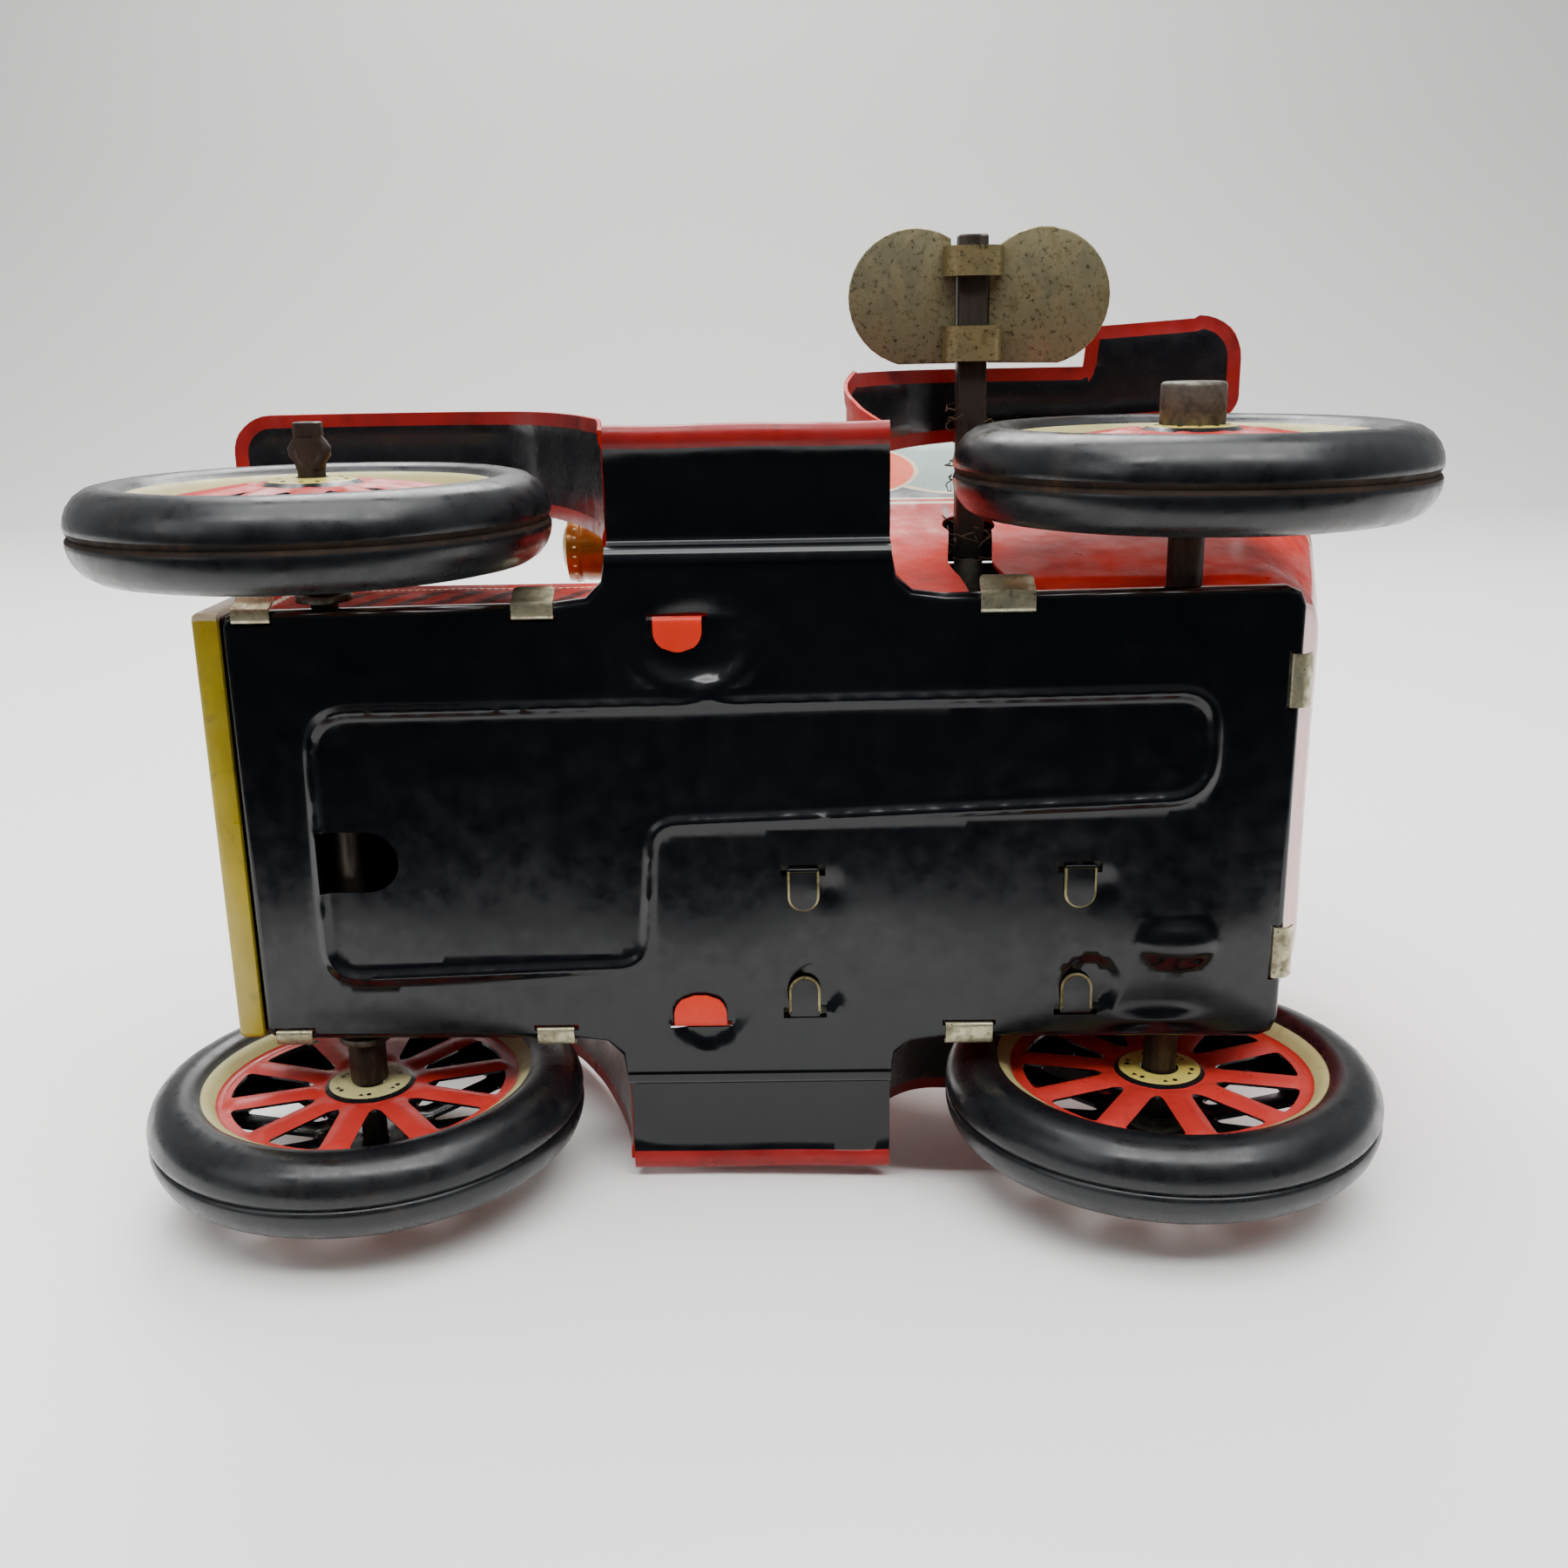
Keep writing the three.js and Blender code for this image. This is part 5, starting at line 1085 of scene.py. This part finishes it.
def make_hood():
    prof = hood_profile()
    d = np.concatenate([[0], np.cumsum([math.dist(a, b) for a, b in zip(prof, prof[1:])])])
    total = float(d[-1])
    x0, x1 = 15.7, 60.9

    def place(x, s):
        y = np.interp(s, d, [p[0] for p in prof])
        z = np.interp(s, d, [p[1] for p in prof])
        pull = 0.25 * np.sin(x / 6.0) * (z < 24) * 0.4
        ridge = 0.35 * np.exp(-((y / 1.2) ** 2)) * (z > 30)
        return x, y - np.sign(y) * np.abs(pull), z - 0.35 + ridge

    def zone(x, s):
        z = np.interp(s, d, [p[1] for p in prof])
        y = np.interp(s, d, [p[0] for p in prof])
        out = np.zeros(len(x), int)
        # printed louvres, leaning, in a field on each side
        lean = x + (z - 12) * 0.28
        stripe = ((lean - 23) % 4.6) < 1.9
        out = np.where(stripe & (z > 4.2) & (z < 19.5) & (lean > 23) & (lean < 55), 1, out)
        out = np.where((np.abs(z - 3.4) < 0.25) | (np.abs(z - 22) < 0.3), 2, out)
        out = np.where((np.abs(x - 58.6) < 0.35) | (np.abs(x - 18.2) < 0.35), 2, out)
        out = np.where((np.abs(np.abs(y) - 6) < 0.3) & (z > 33), 3, out)
        return out

    axle = [(FRONT_X + 1.9 * math.cos(a), AXLE_Z - 0.9 + 1.9 * math.sin(a)) for a in np.linspace(0, 2 * math.pi, 15)[:-1]]
    other = [(x, total - s) for x, s in axle][::-1]
    notch = 1.6
    outline = [(x0, 0), (60.1, 0), (60.1, notch), (x1, notch), (x1, total - notch), (60.1, total - notch), (60.1, total),
               (x0, total)]
    obj = sheet("bonnet_sheet", outline, place, ["bonnet", "louvre", "line", "maroon", "black_in"], holes=[axle, other], step=0.9,
                pick=zone, sharp=50)
    tin_walls_x(obj)
    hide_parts("hood")


def tin_walls_x(obj):
    mesh = obj.data
    centre = Vector((38 * MM, 0, 15 * MM))
    out = sum(((p.center - centre).dot(p.normal) > 0) * p.area for p in mesh.polygons)
    if out < sum(p.area for p in mesh.polygons) / 2:
        mesh.flip_normals()
    mod = obj.modifiers.new("tin", "SOLIDIFY")
    mod.thickness = TIN * MM
    mod.offset = -1
    mod.material_offset = 4
    dg = bpy.context.evaluated_depsgraph_get()
    done = bpy.data.meshes.new_from_object(obj.evaluated_get(dg))
    obj.modifiers.clear()
    obj.data = done
    done.polygons.foreach_set("use_smooth", [True] * len(done.polygons))
    done.set_sharp_from_angle(angle=math.radians(50))


# ------------------------------------------------------------------ radiator
def radiator_ring(inset, x, n=8):
    y, top = 26 - inset, 37.5 - inset
    pts = rounded([(-y, 0.35 + inset), (y, 0.35 + inset), (y, top), (-y, top)], [0.8, 0.8, 11, 11], n)
    return [(x, p[0], p[1]) for p in pts]


def make_radiator():
    # a shallow pressed tray: rolled rim, flat border, sunk core
    stations = [(3.0, 60.3), (2.9, 61.3), (0.55, 61.35), (0.12, 61.5), (0.0, 61.9), (0.0, 63.9), (0.25, 64.35), (0.8, 64.5), (2.6, 64.5),
                (3.1, 64.3), (3.5, 63.8), (3.9, 63.6)]
    rings = [radiator_ring(i, x) for i, x in stations]
    m = len(rings[0])
    verts = [p for ring in rings for p in ring]
    faces, picks = [], []
    for k in range(len(rings) - 1):
        for i in range(m):
            j = (i + 1) % m
            faces.append((k * m + i, k * m + j, (k + 1) * m + j, (k + 1) * m + i))
            (_, ya, za), (_, yb, zb) = rings[k][i], rings[k][j]
            # the upright border on the left (+Y) side, which faces the light, takes the pale colour as a painted
            # highlight; the right side stays yellow
            upright = min(abs(ya), abs(yb)) > 25 and k < 6
            picks.append(3 if k < 2 else 1 if upright and ya > 0 else 0)
    faces.append(tuple((len(rings) - 1) * m + i for i in range(m)))
    picks.append(2)
    faces.append(tuple(range(m)))
    picks.append(3)
    obj = fix_normals(build("radiator_shell", verts, faces, ["yellow", "pale", "core", "black_in"], picks, nodes=["radiator"],
                            slot="yellow_enamel", sharp=40))
    # honeycomb printed and pressed into the core, as fine crossed ribs
    parts = []
    for y in np.arange(-20, 20.1, 2.0):
        parts.append(block(y - 0.16, y + 0.16, 0, 1, 0, 1))
    ribs = []
    for y in np.arange(-20, 20.1, 2.0):
        top = 33.0 if abs(y) < 14 else 33.0 - (abs(y) - 14) * 0.9
        ribs.append(block(63.55, 63.95, y - 0.18, y + 0.18, 5.0, top))
    for z in np.arange(6, 32.1, 2.0):
        w = 21.0 if z < 25 else 21.0 - (z - 25) * 0.75
        ribs.append(block(63.5, 63.85, -w, w, z - 0.18, z + 0.18))
    v, f, p = joined(ribs)
    build("radiator_core_ribs", v, f, ["yellow"], p, slot="yellow_enamel")
    turned("filler_cap", [(0, 0), (2.5, 0), (2.6, 0.2), (2.6, 0.8), (1.7, 1.1), (1.55, 1.5), (1.6, 2.1), (2.2, 2.4),
                          (2.3, 2.8), (2.0, 3.4), (1.2, 3.7), (0, 3.75)], (62.7, 0, 37.95), ["brass"], axis="z", seg=36,
           nodes=["radiator_cap"], slot="key_brass", sharp=50)


# ------------------------------------------------------------------ lamps, dashboard, seats, steering
def make_lamps():
    for side, label in ((1, "left"), (-1, "right")):
        c = (15.6, side * 27.8, 40.0)
        shell = [(0, 0), (1.0, 0.05), (1.15, 0.5), (1.5, 0.9), (2.9, 1.45), (3.7, 2.6), (4.15, 4.2), (4.35, 6.2),
                 (4.4, 8.6), (4.25, 9.0), (4.25, 9.35), (4.5, 9.6), (4.5, 10.6), (4.4, 10.9), (4.4, 11.2), (4.0, 11.2),
                 (4.0, 8.0), (3.6, 4.6), (2.2, 2.0), (0, 1.6)]
        turned(f"lamp_body_{label}", shell, c, ["amber"], axis="x", seg=48, nodes=[f"lamp_shell_{label}"],
               slot="amber_lacquer", sharp=40)
        lens = [(0, 9.7), (3.5, 9.7), (3.65, 10.0), (3.65, 10.7), (3.45, 11.3), (2.9, 11.75), (2.0, 12.05), (1.0, 12.2),
                (0, 12.25)]
        turned(f"lamp_glass_{label}", lens, c, ["lens"], axis="x", seg=40, nodes=[f"lamp_lens_{label}"],
               slot="lens_enamel", sharp=60)
        beads = []
        for k in range(22):
            a = 2 * math.pi * k / 22
            y, z = c[1] + 4.44 * math.cos(a), c[2] + 4.44 * math.sin(a)
            beads.append(lathe([(0, -0.3), (0.17, -0.15), (0.17, 0.15), (0, 0.3)], (c[0] + 10.1, y, z), "x", 6))
        v, f, p = joined(beads)
        build(f"lamp_seam_{label}", v, f, ["lens"], p, slot="lens_enamel")


def make_inside():
    pts = rounded([(-24.7, 0.95), (24.7, 0.95), (31.4, 38), (30.5, 50.4), (-30.5, 50.4), (-31.4, 38)],
                  [0.5, 0.5, 6, 9, 9, 6], 6)
    sheet("dash_panel", pts, lambda u, v: (15.25 + 0.0 * u - 0.2 * np.exp(-((to_line(u, v, pts) - 2.4) / 0.5) ** 2), u, v),
          ["red", "line"], step=1.6, pick=lambda u, v: (np.abs(to_line(u, v, pts) - 3.6) < 0.3).astype(int),
          solid=0.32, nodes=["dashboard"], slot="red_litho")
    for name, node, (x0, x1, y, z) in (("front_boards", "front_floor", (-6.4, 14.2, 28.7, 31.38)),
                                       ("rear_boards", "rear_floor", (-45.4, -8, 32.9, 51.68))):
        planks = []
        n = 7
        for i in range(n):
            a = -y + 2 * y * i / n
            planks.append(block(x0, x1, a + 0.12, a + 2 * y / n - 0.12, z - 0.45, z))
        v, f, p = joined(planks)
        fix_normals(build(name, v, f, ["maroon"], p, nodes=[node], slot="red_litho", bevel=0.12))
    for name, node, prof, w in (
        ("front_bench", "front_seat", [(-5.25, 31.9), (-5.25, 55.4), (-20.5, 55.4), (-23.6, 70.9), (-26.3, 70.9),
                                       (-23.2, 52.5), (-6.3, 52.5), (-6.3, 31.9)], 27.8),
        ("rear_bench", "rear_seat", [(-46.05, 52.2), (-46.05, 57.4), (-65.5, 57.4), (-70.5, 72.9), (-73.4, 72.9),
                                     (-68.6, 54.05), (-47.1, 54.05), (-47.1, 52.2)], 30.8)):
        outline = rounded(prof, [0.1, 1.6, 0.8, 1.2, 1.2, 0.8, 0.4, 0.1], 5)
        ys = np.linspace(-w, w, 141)
        m = len(outline)
        verts, faces = [], []
        cx = sum(p[0] for p in outline) / m
        cz = sum(p[1] for p in outline) / m
        for y in ys:
            # pleats pressed across the cushion and the back
            pleat = 0.32 * abs(math.sin(math.pi * (y + w) / (2 * w) * 9)) ** 0.6 - 0.32
            end = 1 - math.sqrt(max(0, 1 - max(0, (abs(y) - w + 1.2) / 1.2) ** 2)) if abs(y) > w - 1.2 else 0
            for x, z in outline:
                up = z > prof[1][1] - 0.6 and z < prof[1][1] + 0.1
                back = z > prof[1][1] + 0.5 and z < prof[3][1] - 1.0 and x > (prof[3][0] + prof[2][0]) / 2 - 3.2
                dz = pleat if up else 0
                dx = pleat if back else 0
                verts.append((x + dx, y, z + dz))
        for i in range(len(ys) - 1):
            for k in range(m):
                a, b = i * m + k, i * m + (k + 1) % m
                faces.append((a, b, b + m, a + m))
        faces += [tuple(range(m)), tuple(len(verts) - m + k for k in range(m))]
        fix_normals(build(name, verts, faces, ["seat"], nodes=[node], slot="seat_enamel", sharp=50))
    foot, head = Vector((10.8, -13, 32)), Vector((-2.6, -13, 65))
    axis = (head - foot).normalized()
    q = Vector((0, 0, 1)).rotation_difference(axis)
    length = (head - foot).length

    def along(part, t):
        v, f = part[0], part[1]
        return [tuple(q @ Vector(p) + foot + axis * t) for p in v], f

    col = lathe([(0, 0.9), (1.0, 0.9), (1.1, 1.2), (1.1, length - 1.0), (1.0, length - 0.8), (0, length - 0.8)],
                (0, 0, 0), "z", 24)
    v, f = along(col, 0)
    fix_normals(build("steering_post", v, f, ["brass"], nodes=["steering_column"], slot="key_brass"))
    n = 10
    ringp = [(8.4 + 0.8 * math.cos(2 * math.pi * k / n), 0.78 * math.sin(2 * math.pi * k / n)) for k in range(n + 1)]
    parts = [lathe(ringp, (0, 0, 0), "z", 56)]
    for k in range(4):
        a = k * math.pi / 2
        c, s = math.cos(a), math.sin(a)
        spoke = [(1.2, 0.0), (3, 0.1), (5.5, 0.25), (8.2, 0.0)]
        v2, f2 = bar([(r * c, r * s, h) for r, h in spoke], [1.5, 1.1, 1.0, 1.3], 0.5, (-s, c, 0))
        parts.append((v2, f2))
    parts.append(lathe([(0, -0.55), (1.9, -0.55), (2.0, -0.3), (2.0, 0.3), (1.5, 0.6), (0, 0.75)], (0, 0, 0), "z", 28))
    v, f, p = joined([along(part, length + 0.4) for part in parts])
    fix_normals(build("steering_rim", v, f, ["tyre"], p, nodes=["steering_wheel"], slot="black_enamel", sharp=50))


# ------------------------------------------------------------------ tabs that hold the tin together
def strip(name, path, width, thick, mat, slot, along=(1, 0, 0), tip=0.0, **kw):
    """A bent tab with its last end rounded off."""
    pts = [Vector(p) for p in path]
    fine = [pts[0]]
    for a, b in zip(pts, pts[1:]):
        n = max(1, int((b - a).length / 0.35))
        fine += [a + (b - a) * (k + 1) / n for k in range(n)]
    left = [0.0]
    for a, b in zip(fine[::-1], fine[::-1][1:]):
        left.append(left[-1] + (a - b).length)
    left = left[::-1]
    widths = []
    for d in left:
        if tip and d < tip:
            t = max(0.0, 1 - (1 - d / tip) ** 2)
            widths.append(width - 2 * tip * (1 - math.sqrt(t)) if tip <= width / 2 else width * math.sqrt(t))
        else:
            widths.append(width)
    widths[-1] = max(widths[-1], 0.3)
    v, f = bar(fine, widths, thick, along)
    return fix_normals(build(name, v, f, [mat], slot=slot, sharp=45, bevel=0, **kw))


def make_tabs():
    for side, label, spans in ((1, "left", ((55.3, 59.6), (23.4, 28.1), (-30.6, -24.5))),
                               (-1, "right", ((55.4, 59.7), (23.7, 28.1), (-26.7, -21.1)))):
        for k, (x0, x1) in enumerate(spans):
            xc, w = (x0 + x1) / 2, x1 - x0
            e = pan_half(xc)
            top = 3.5 if side > 0 else 3.3
            path = [(xc, side * 24.85, 0.9), (xc, side * 24.85, -0.05), (xc, side * 24.98, -0.22), (xc, side * 25.3, -0.28),
                    (xc, side * (e + 0.1), -0.3), (xc, side * (e + 0.38), -0.15), (xc, side * (e + 0.48), 0.2),
                    (xc, side * (e + 0.85), 1.2), (xc, side * (e + 1.5), 2.1), (xc, side * (e + 1.7), 2.9),
                    (xc, side * (e + 1.45), top)]
            strip(f"clip_{label}_{k}", path, w, 0.32 * side, "clip", "axle_steel", tip=1.9)
    for k, (y0, y1) in enumerate(((13.4, 19.6), (-19.5, -13.2))):
        yc, w = (y0 + y1) / 2, y1 - y0
        path = [(-59.6, yc, 0.9), (-59.6, yc, -0.05), (-59.75, yc, -0.22), (-60.1, yc, -0.28), (-61.0, yc, -0.3),
                (-61.4, yc, -0.12), (-61.8, yc, 0.25), (-62.3, yc, 1.0), (-62.4, yc, 1.6)]
        strip(f"clip_rear_{k}", path, w, 0.32, "clip", "axle_steel", along=(0, 1, 0), tip=0.8)
    for side, label, (xc, w) in ((1, "left", (9.55, 5.5)), (-1, "right", (8.35, 6.3))):
        dip = 0.35
        path = [(xc, side * 24.85, 1.0), (xc, side * 24.85, 0.0), (xc, side * 24.7, -0.22), (xc, side * 24.4, -0.34),
                (xc, side * 23.4, -0.36), (xc, side * 21.9, -0.3), (xc, side * 20.9, -0.2)]
        strip(f"body_tab_{label}", path, w, -0.32 * side, "tab", "red_litho", tip=2.4)


def make_motor_plates():
    """Two side plates; each has a pair of round-ended tabs that come through the pan and are folded flat."""
    for label, y, fold in (("left", MOTOR_TABS[0][1], -1), ("right", MOTOR_TABS[2][1], 1)):
        outline = rounded([(1, 0.95), (1, 10), (-7.4, 30), (-11, 47.4), (-14, 50.3), (-40, 50.3), (-46, 44), (-55, 22),
                           (-55, 0.95), (REAR_X - 2.4, 0.95), (REAR_X - 2.4, AXLE_Z), (REAR_X + 2.4, AXLE_Z),
                           (REAR_X + 2.4, 0.95)], [0, 1, 1, 1, 1, 1, 1, 1, 0, 0, 1.8, 1.8, 0], 4)
        holes = [circle(*ARBOR, 2.3, 20), circle(*SECOND, 1.6, 16)]
        sheet(f"motor_side_{label}", outline, lambda u, v: (u, y - 0.36 + 0 * u, v), ["steel"], holes=holes, step=2.5,
              solid=0.72, nodes=[f"motor_plate_{label}"], slot="motor_steel")
        for k in (0, 1):
            x, y0, end = MOTOR_TABS[k if fold < 0 else k + 2]
            for kind, mat, half, z, thick in (("skin", "black", 1.58, -0.62, 0.3), ("edge", "strap", 1.86, -0.36, 0.24)):
                r = half
                tip = end - fold * (r + (0.28 if kind == "skin" else 0.0))
                arc = [(x + r * math.cos(a), tip + fold * r * math.sin(a)) for a in np.linspace(0, math.pi, 15)]
                flat = [(x + r, y0)] + arc + [(x - r, y0)]
                lift = lambda u, v, z=z: (u, v, z + 0.12 * smooth(np.abs(v - y0), 1.5, 5.0))
                sheet(f"motor_tab_{label}_{k}_{kind}", flat, lift, [mat], step=0.8, solid=thick, flip=fold > 0,
                      slot="black_enamel", sharp=50)
            v, f = block(x - 1.8, x + 1.8, y0 - 0.34, y0 + 0.34, -0.5, 1.0)
            fix_normals(build(f"motor_neck_{label}_{k}", v, f, ["black"], slot="black_enamel", bevel=0.15))


# ------------------------------------------------------------------ stage, light and camera
def one_sided(mat, nt, bsdf):
    """Only the face that looks at the object shows; from behind the surface isn't there."""
    out = nt.nodes["Material Output"]
    gone = nt.nodes.new("ShaderNodeBsdfTransparent")
    geo = nt.nodes.new("ShaderNodeNewGeometry")
    blend = nt.nodes.new("ShaderNodeMixShader")
    nt.links.new(geo.outputs["Backfacing"], blend.inputs["Fac"])
    nt.links.new(bsdf.outputs[0], blend.inputs[1])
    nt.links.new(gone.outputs[0], blend.inputs[2])
    nt.links.new(blend.outputs[0], out.inputs["Surface"])


def stage_surface(name, verts, faces, colour, rough, far=None):
    mesh = bpy.data.meshes.new(name)
    mesh.from_pydata(verts, [], faces)
    obj = bpy.data.objects.new(name, mesh)
    bpy.context.scene.collection.objects.link(obj)
    mat, nt, bsdf = new_material(name)
    # far, when given, is a darker colour the surface fades to further off: painted shade
    if far is None:
        bsdf.inputs["Base Color"].default_value = colour
    else:
        sep = nt.nodes.new("ShaderNodeSeparateXYZ")
        nt.links.new(nt.nodes.new("ShaderNodeTexCoord").outputs["Object"], sep.inputs[0])
        nt.links.new(ramp(nt, sep.outputs["Z"], [(0.45, colour), (0.95, far)]), bsdf.inputs["Base Color"])
    bsdf.inputs["Roughness"].default_value = rough
    bsdf.inputs["Specular IOR Level"].default_value = 0.25
    one_sided(mat, nt, bsdf)
    mesh.materials.append(mat)
    for p in mesh.polygons:
        p.use_smooth = True
    return obj


def make_stage():
    # the table the car lies on, on its right side, with a hollow under the rear mudguard; far off it turns up, and its
    # colour is painted darker there as shade
    zs = list(np.linspace(-96, -40, 8)) + list(np.linspace(-32, 100, 45)) + list(np.linspace(110, 1300, 30))
    xs = list(np.linspace(-1300, -110, 12)) + list(np.linspace(-100, 90, 60)) + list(np.linspace(110, 1300, 12))
    verts = []
    for z in zs:
        for x in xs:
            hollow = 11.2 * math.exp(-(((x + 38) / 34) ** 4)) * math.exp(-(((z - 38) / 27) ** 4))
            rise = 0.0
            if z > 760:
                t = (z - 760) / 540
                rise = 1100 * t ** 1.5
            verts.append((x * MM, (-46.9 - hollow + rise) * MM, z * MM))
    n = len(xs)
    faces = [(i * n + j, (i + 1) * n + j, (i + 1) * n + j + 1, i * n + j + 1)
             for i in range(len(zs) - 1) for j in range(n - 1)]
    # the table's colour is painted darker towards the backdrop's top: painted shade
    stage_surface("table", verts, faces, srgb(243, 243, 241), 0.6, srgb(196, 195, 193))
    # a floor for the upright views; the lens alone sees it, from above
    g = -22.6 * MM
    floor = stage_surface("floor", [(-1.2, -1.2, g), (1.2, -1.2, g), (1.2, 1.2, g), (-1.2, 1.2, g)], [(0, 1, 2, 3)],
                          srgb(206, 207, 210), 0.7)
    for flag in ("visible_diffuse", "visible_glossy", "visible_transmission", "visible_shadow"):
        setattr(floor, flag, False)


def area_light(name, where, aim, size, power, colour=(1, 1, 1)):
    data = bpy.data.lights.new(name, "AREA")
    data.shape = "RECTANGLE"
    data.size, data.size_y = size
    data.energy = power
    data.color = colour
    obj = bpy.data.objects.new(name, data)
    obj.location = where
    obj.rotation_euler = (Vector(aim) - Vector(where)).to_track_quat("-Z", "Y").to_euler()
    bpy.context.scene.collection.objects.link(obj)
    obj.visible_camera = False
    return obj


def make_light():
    world = bpy.data.worlds.new("room")
    bpy.context.scene.world = world
    world.use_nodes = True
    nt = world.node_tree
    back = nt.nodes["Background"]
    where = nt.nodes.new("ShaderNodeTexCoord").outputs["Generated"]
    sep = nt.nodes.new("ShaderNodeSeparateXYZ")
    nt.links.new(where, sep.inputs[0])
    # bright overhead for the lying car (+Y), dim on the side the picture is taken from (-Z)
    add = nt.nodes.new("ShaderNodeMath")
    add.operation = "MULTIPLY_ADD"
    nt.links.new(sep.outputs["Y"], add.inputs[0])
    add.inputs[1].default_value = 0.30
    add.inputs[2].default_value = 0.5
    add2 = nt.nodes.new("ShaderNodeMath")
    add2.operation = "MULTIPLY_ADD"
    nt.links.new(sep.outputs["Z"], add2.inputs[0])
    add2.inputs[1].default_value = 0.22
    nt.links.new(add.outputs[0], add2.inputs[2])
    col = ramp(nt, add2.outputs[0], [(0.10, srgb(22, 25, 31)), (0.34, srgb(70, 74, 80)), (0.55, srgb(176, 179, 182)),
                                     (0.78, srgb(214, 215, 216)), (1.0, srgb(230, 231, 231))])
    nt.links.new(col, back.inputs["Color"])
    back.inputs["Strength"].default_value = 0.9
    area_light("overhead", (-0.05, 0.75, -0.15), (0, 0, 0.02), (0.9, 0.7), 12.0)
    area_light("strip", (-0.03, 0.62, -0.4), (0, 0, 0), (1.1, 0.14), 3.0)
    area_light("window", (0.7, 0.45, -0.5), (0, 0, 0), (0.4, 0.5), 1.3)
    area_light("top", (0.1, 0.85, 0.8), (0, 0, 0.02), (0.7, 0.6), 15.0)


def make_camera():
    data = bpy.data.cameras.new("camera")
    data.lens = 36.149
    data.sensor_width = 36
    data.clip_start, data.clip_end = 0.005, 20
    cam = bpy.data.objects.new("camera", data)
    cam.location = CAMERA_AT
    cam.rotation_mode = "QUATERNION"
    cam.rotation_quaternion = Matrix(CAMERA_AXES).transposed().to_quaternion()
    bpy.context.scene.collection.objects.link(cam)
    bpy.context.scene.camera = cam


def finish_cad_nodes():
    """The motor keeps its CAD solids; each gets its metal."""
    wear = {"brass": ("great_wheel", "second_wheel"), "axle": ("second_arbor", "second_pinion", "axle_pinion")}
    chosen = {n: m for m, names in wear.items() for n in names}
    for name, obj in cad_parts.items():
        obj.data.materials.clear()
        obj.data.materials.append(M[chosen.get(name, "steel")])


# ------------------------------------------------------------------ put it together
CAMERA_AT = (-4.295 * MM, 54.212 * MM, -174.757 * MM)
# right, up and back of the camera, in the car's frame
CAMERA_AXES = ((-0.999826, -0.017083, 0.007524), (-0.014420, 0.962794, 0.269851), (-0.011854, 0.269696, -0.962873))

finish_cad_nodes()
make_pan()
for side, label in ((1, "left"), (-1, "right")):
    make_board(side, label)
    make_fender(True, side, label)
    make_fender(False, side, label)
make_tub()
make_hood()
make_radiator()
make_lamps()
make_inside()
make_tabs()
make_motor_plates()
make_wheels()
make_key()
make_lint()
make_axles()
make_stage()
make_light()
make_camera()
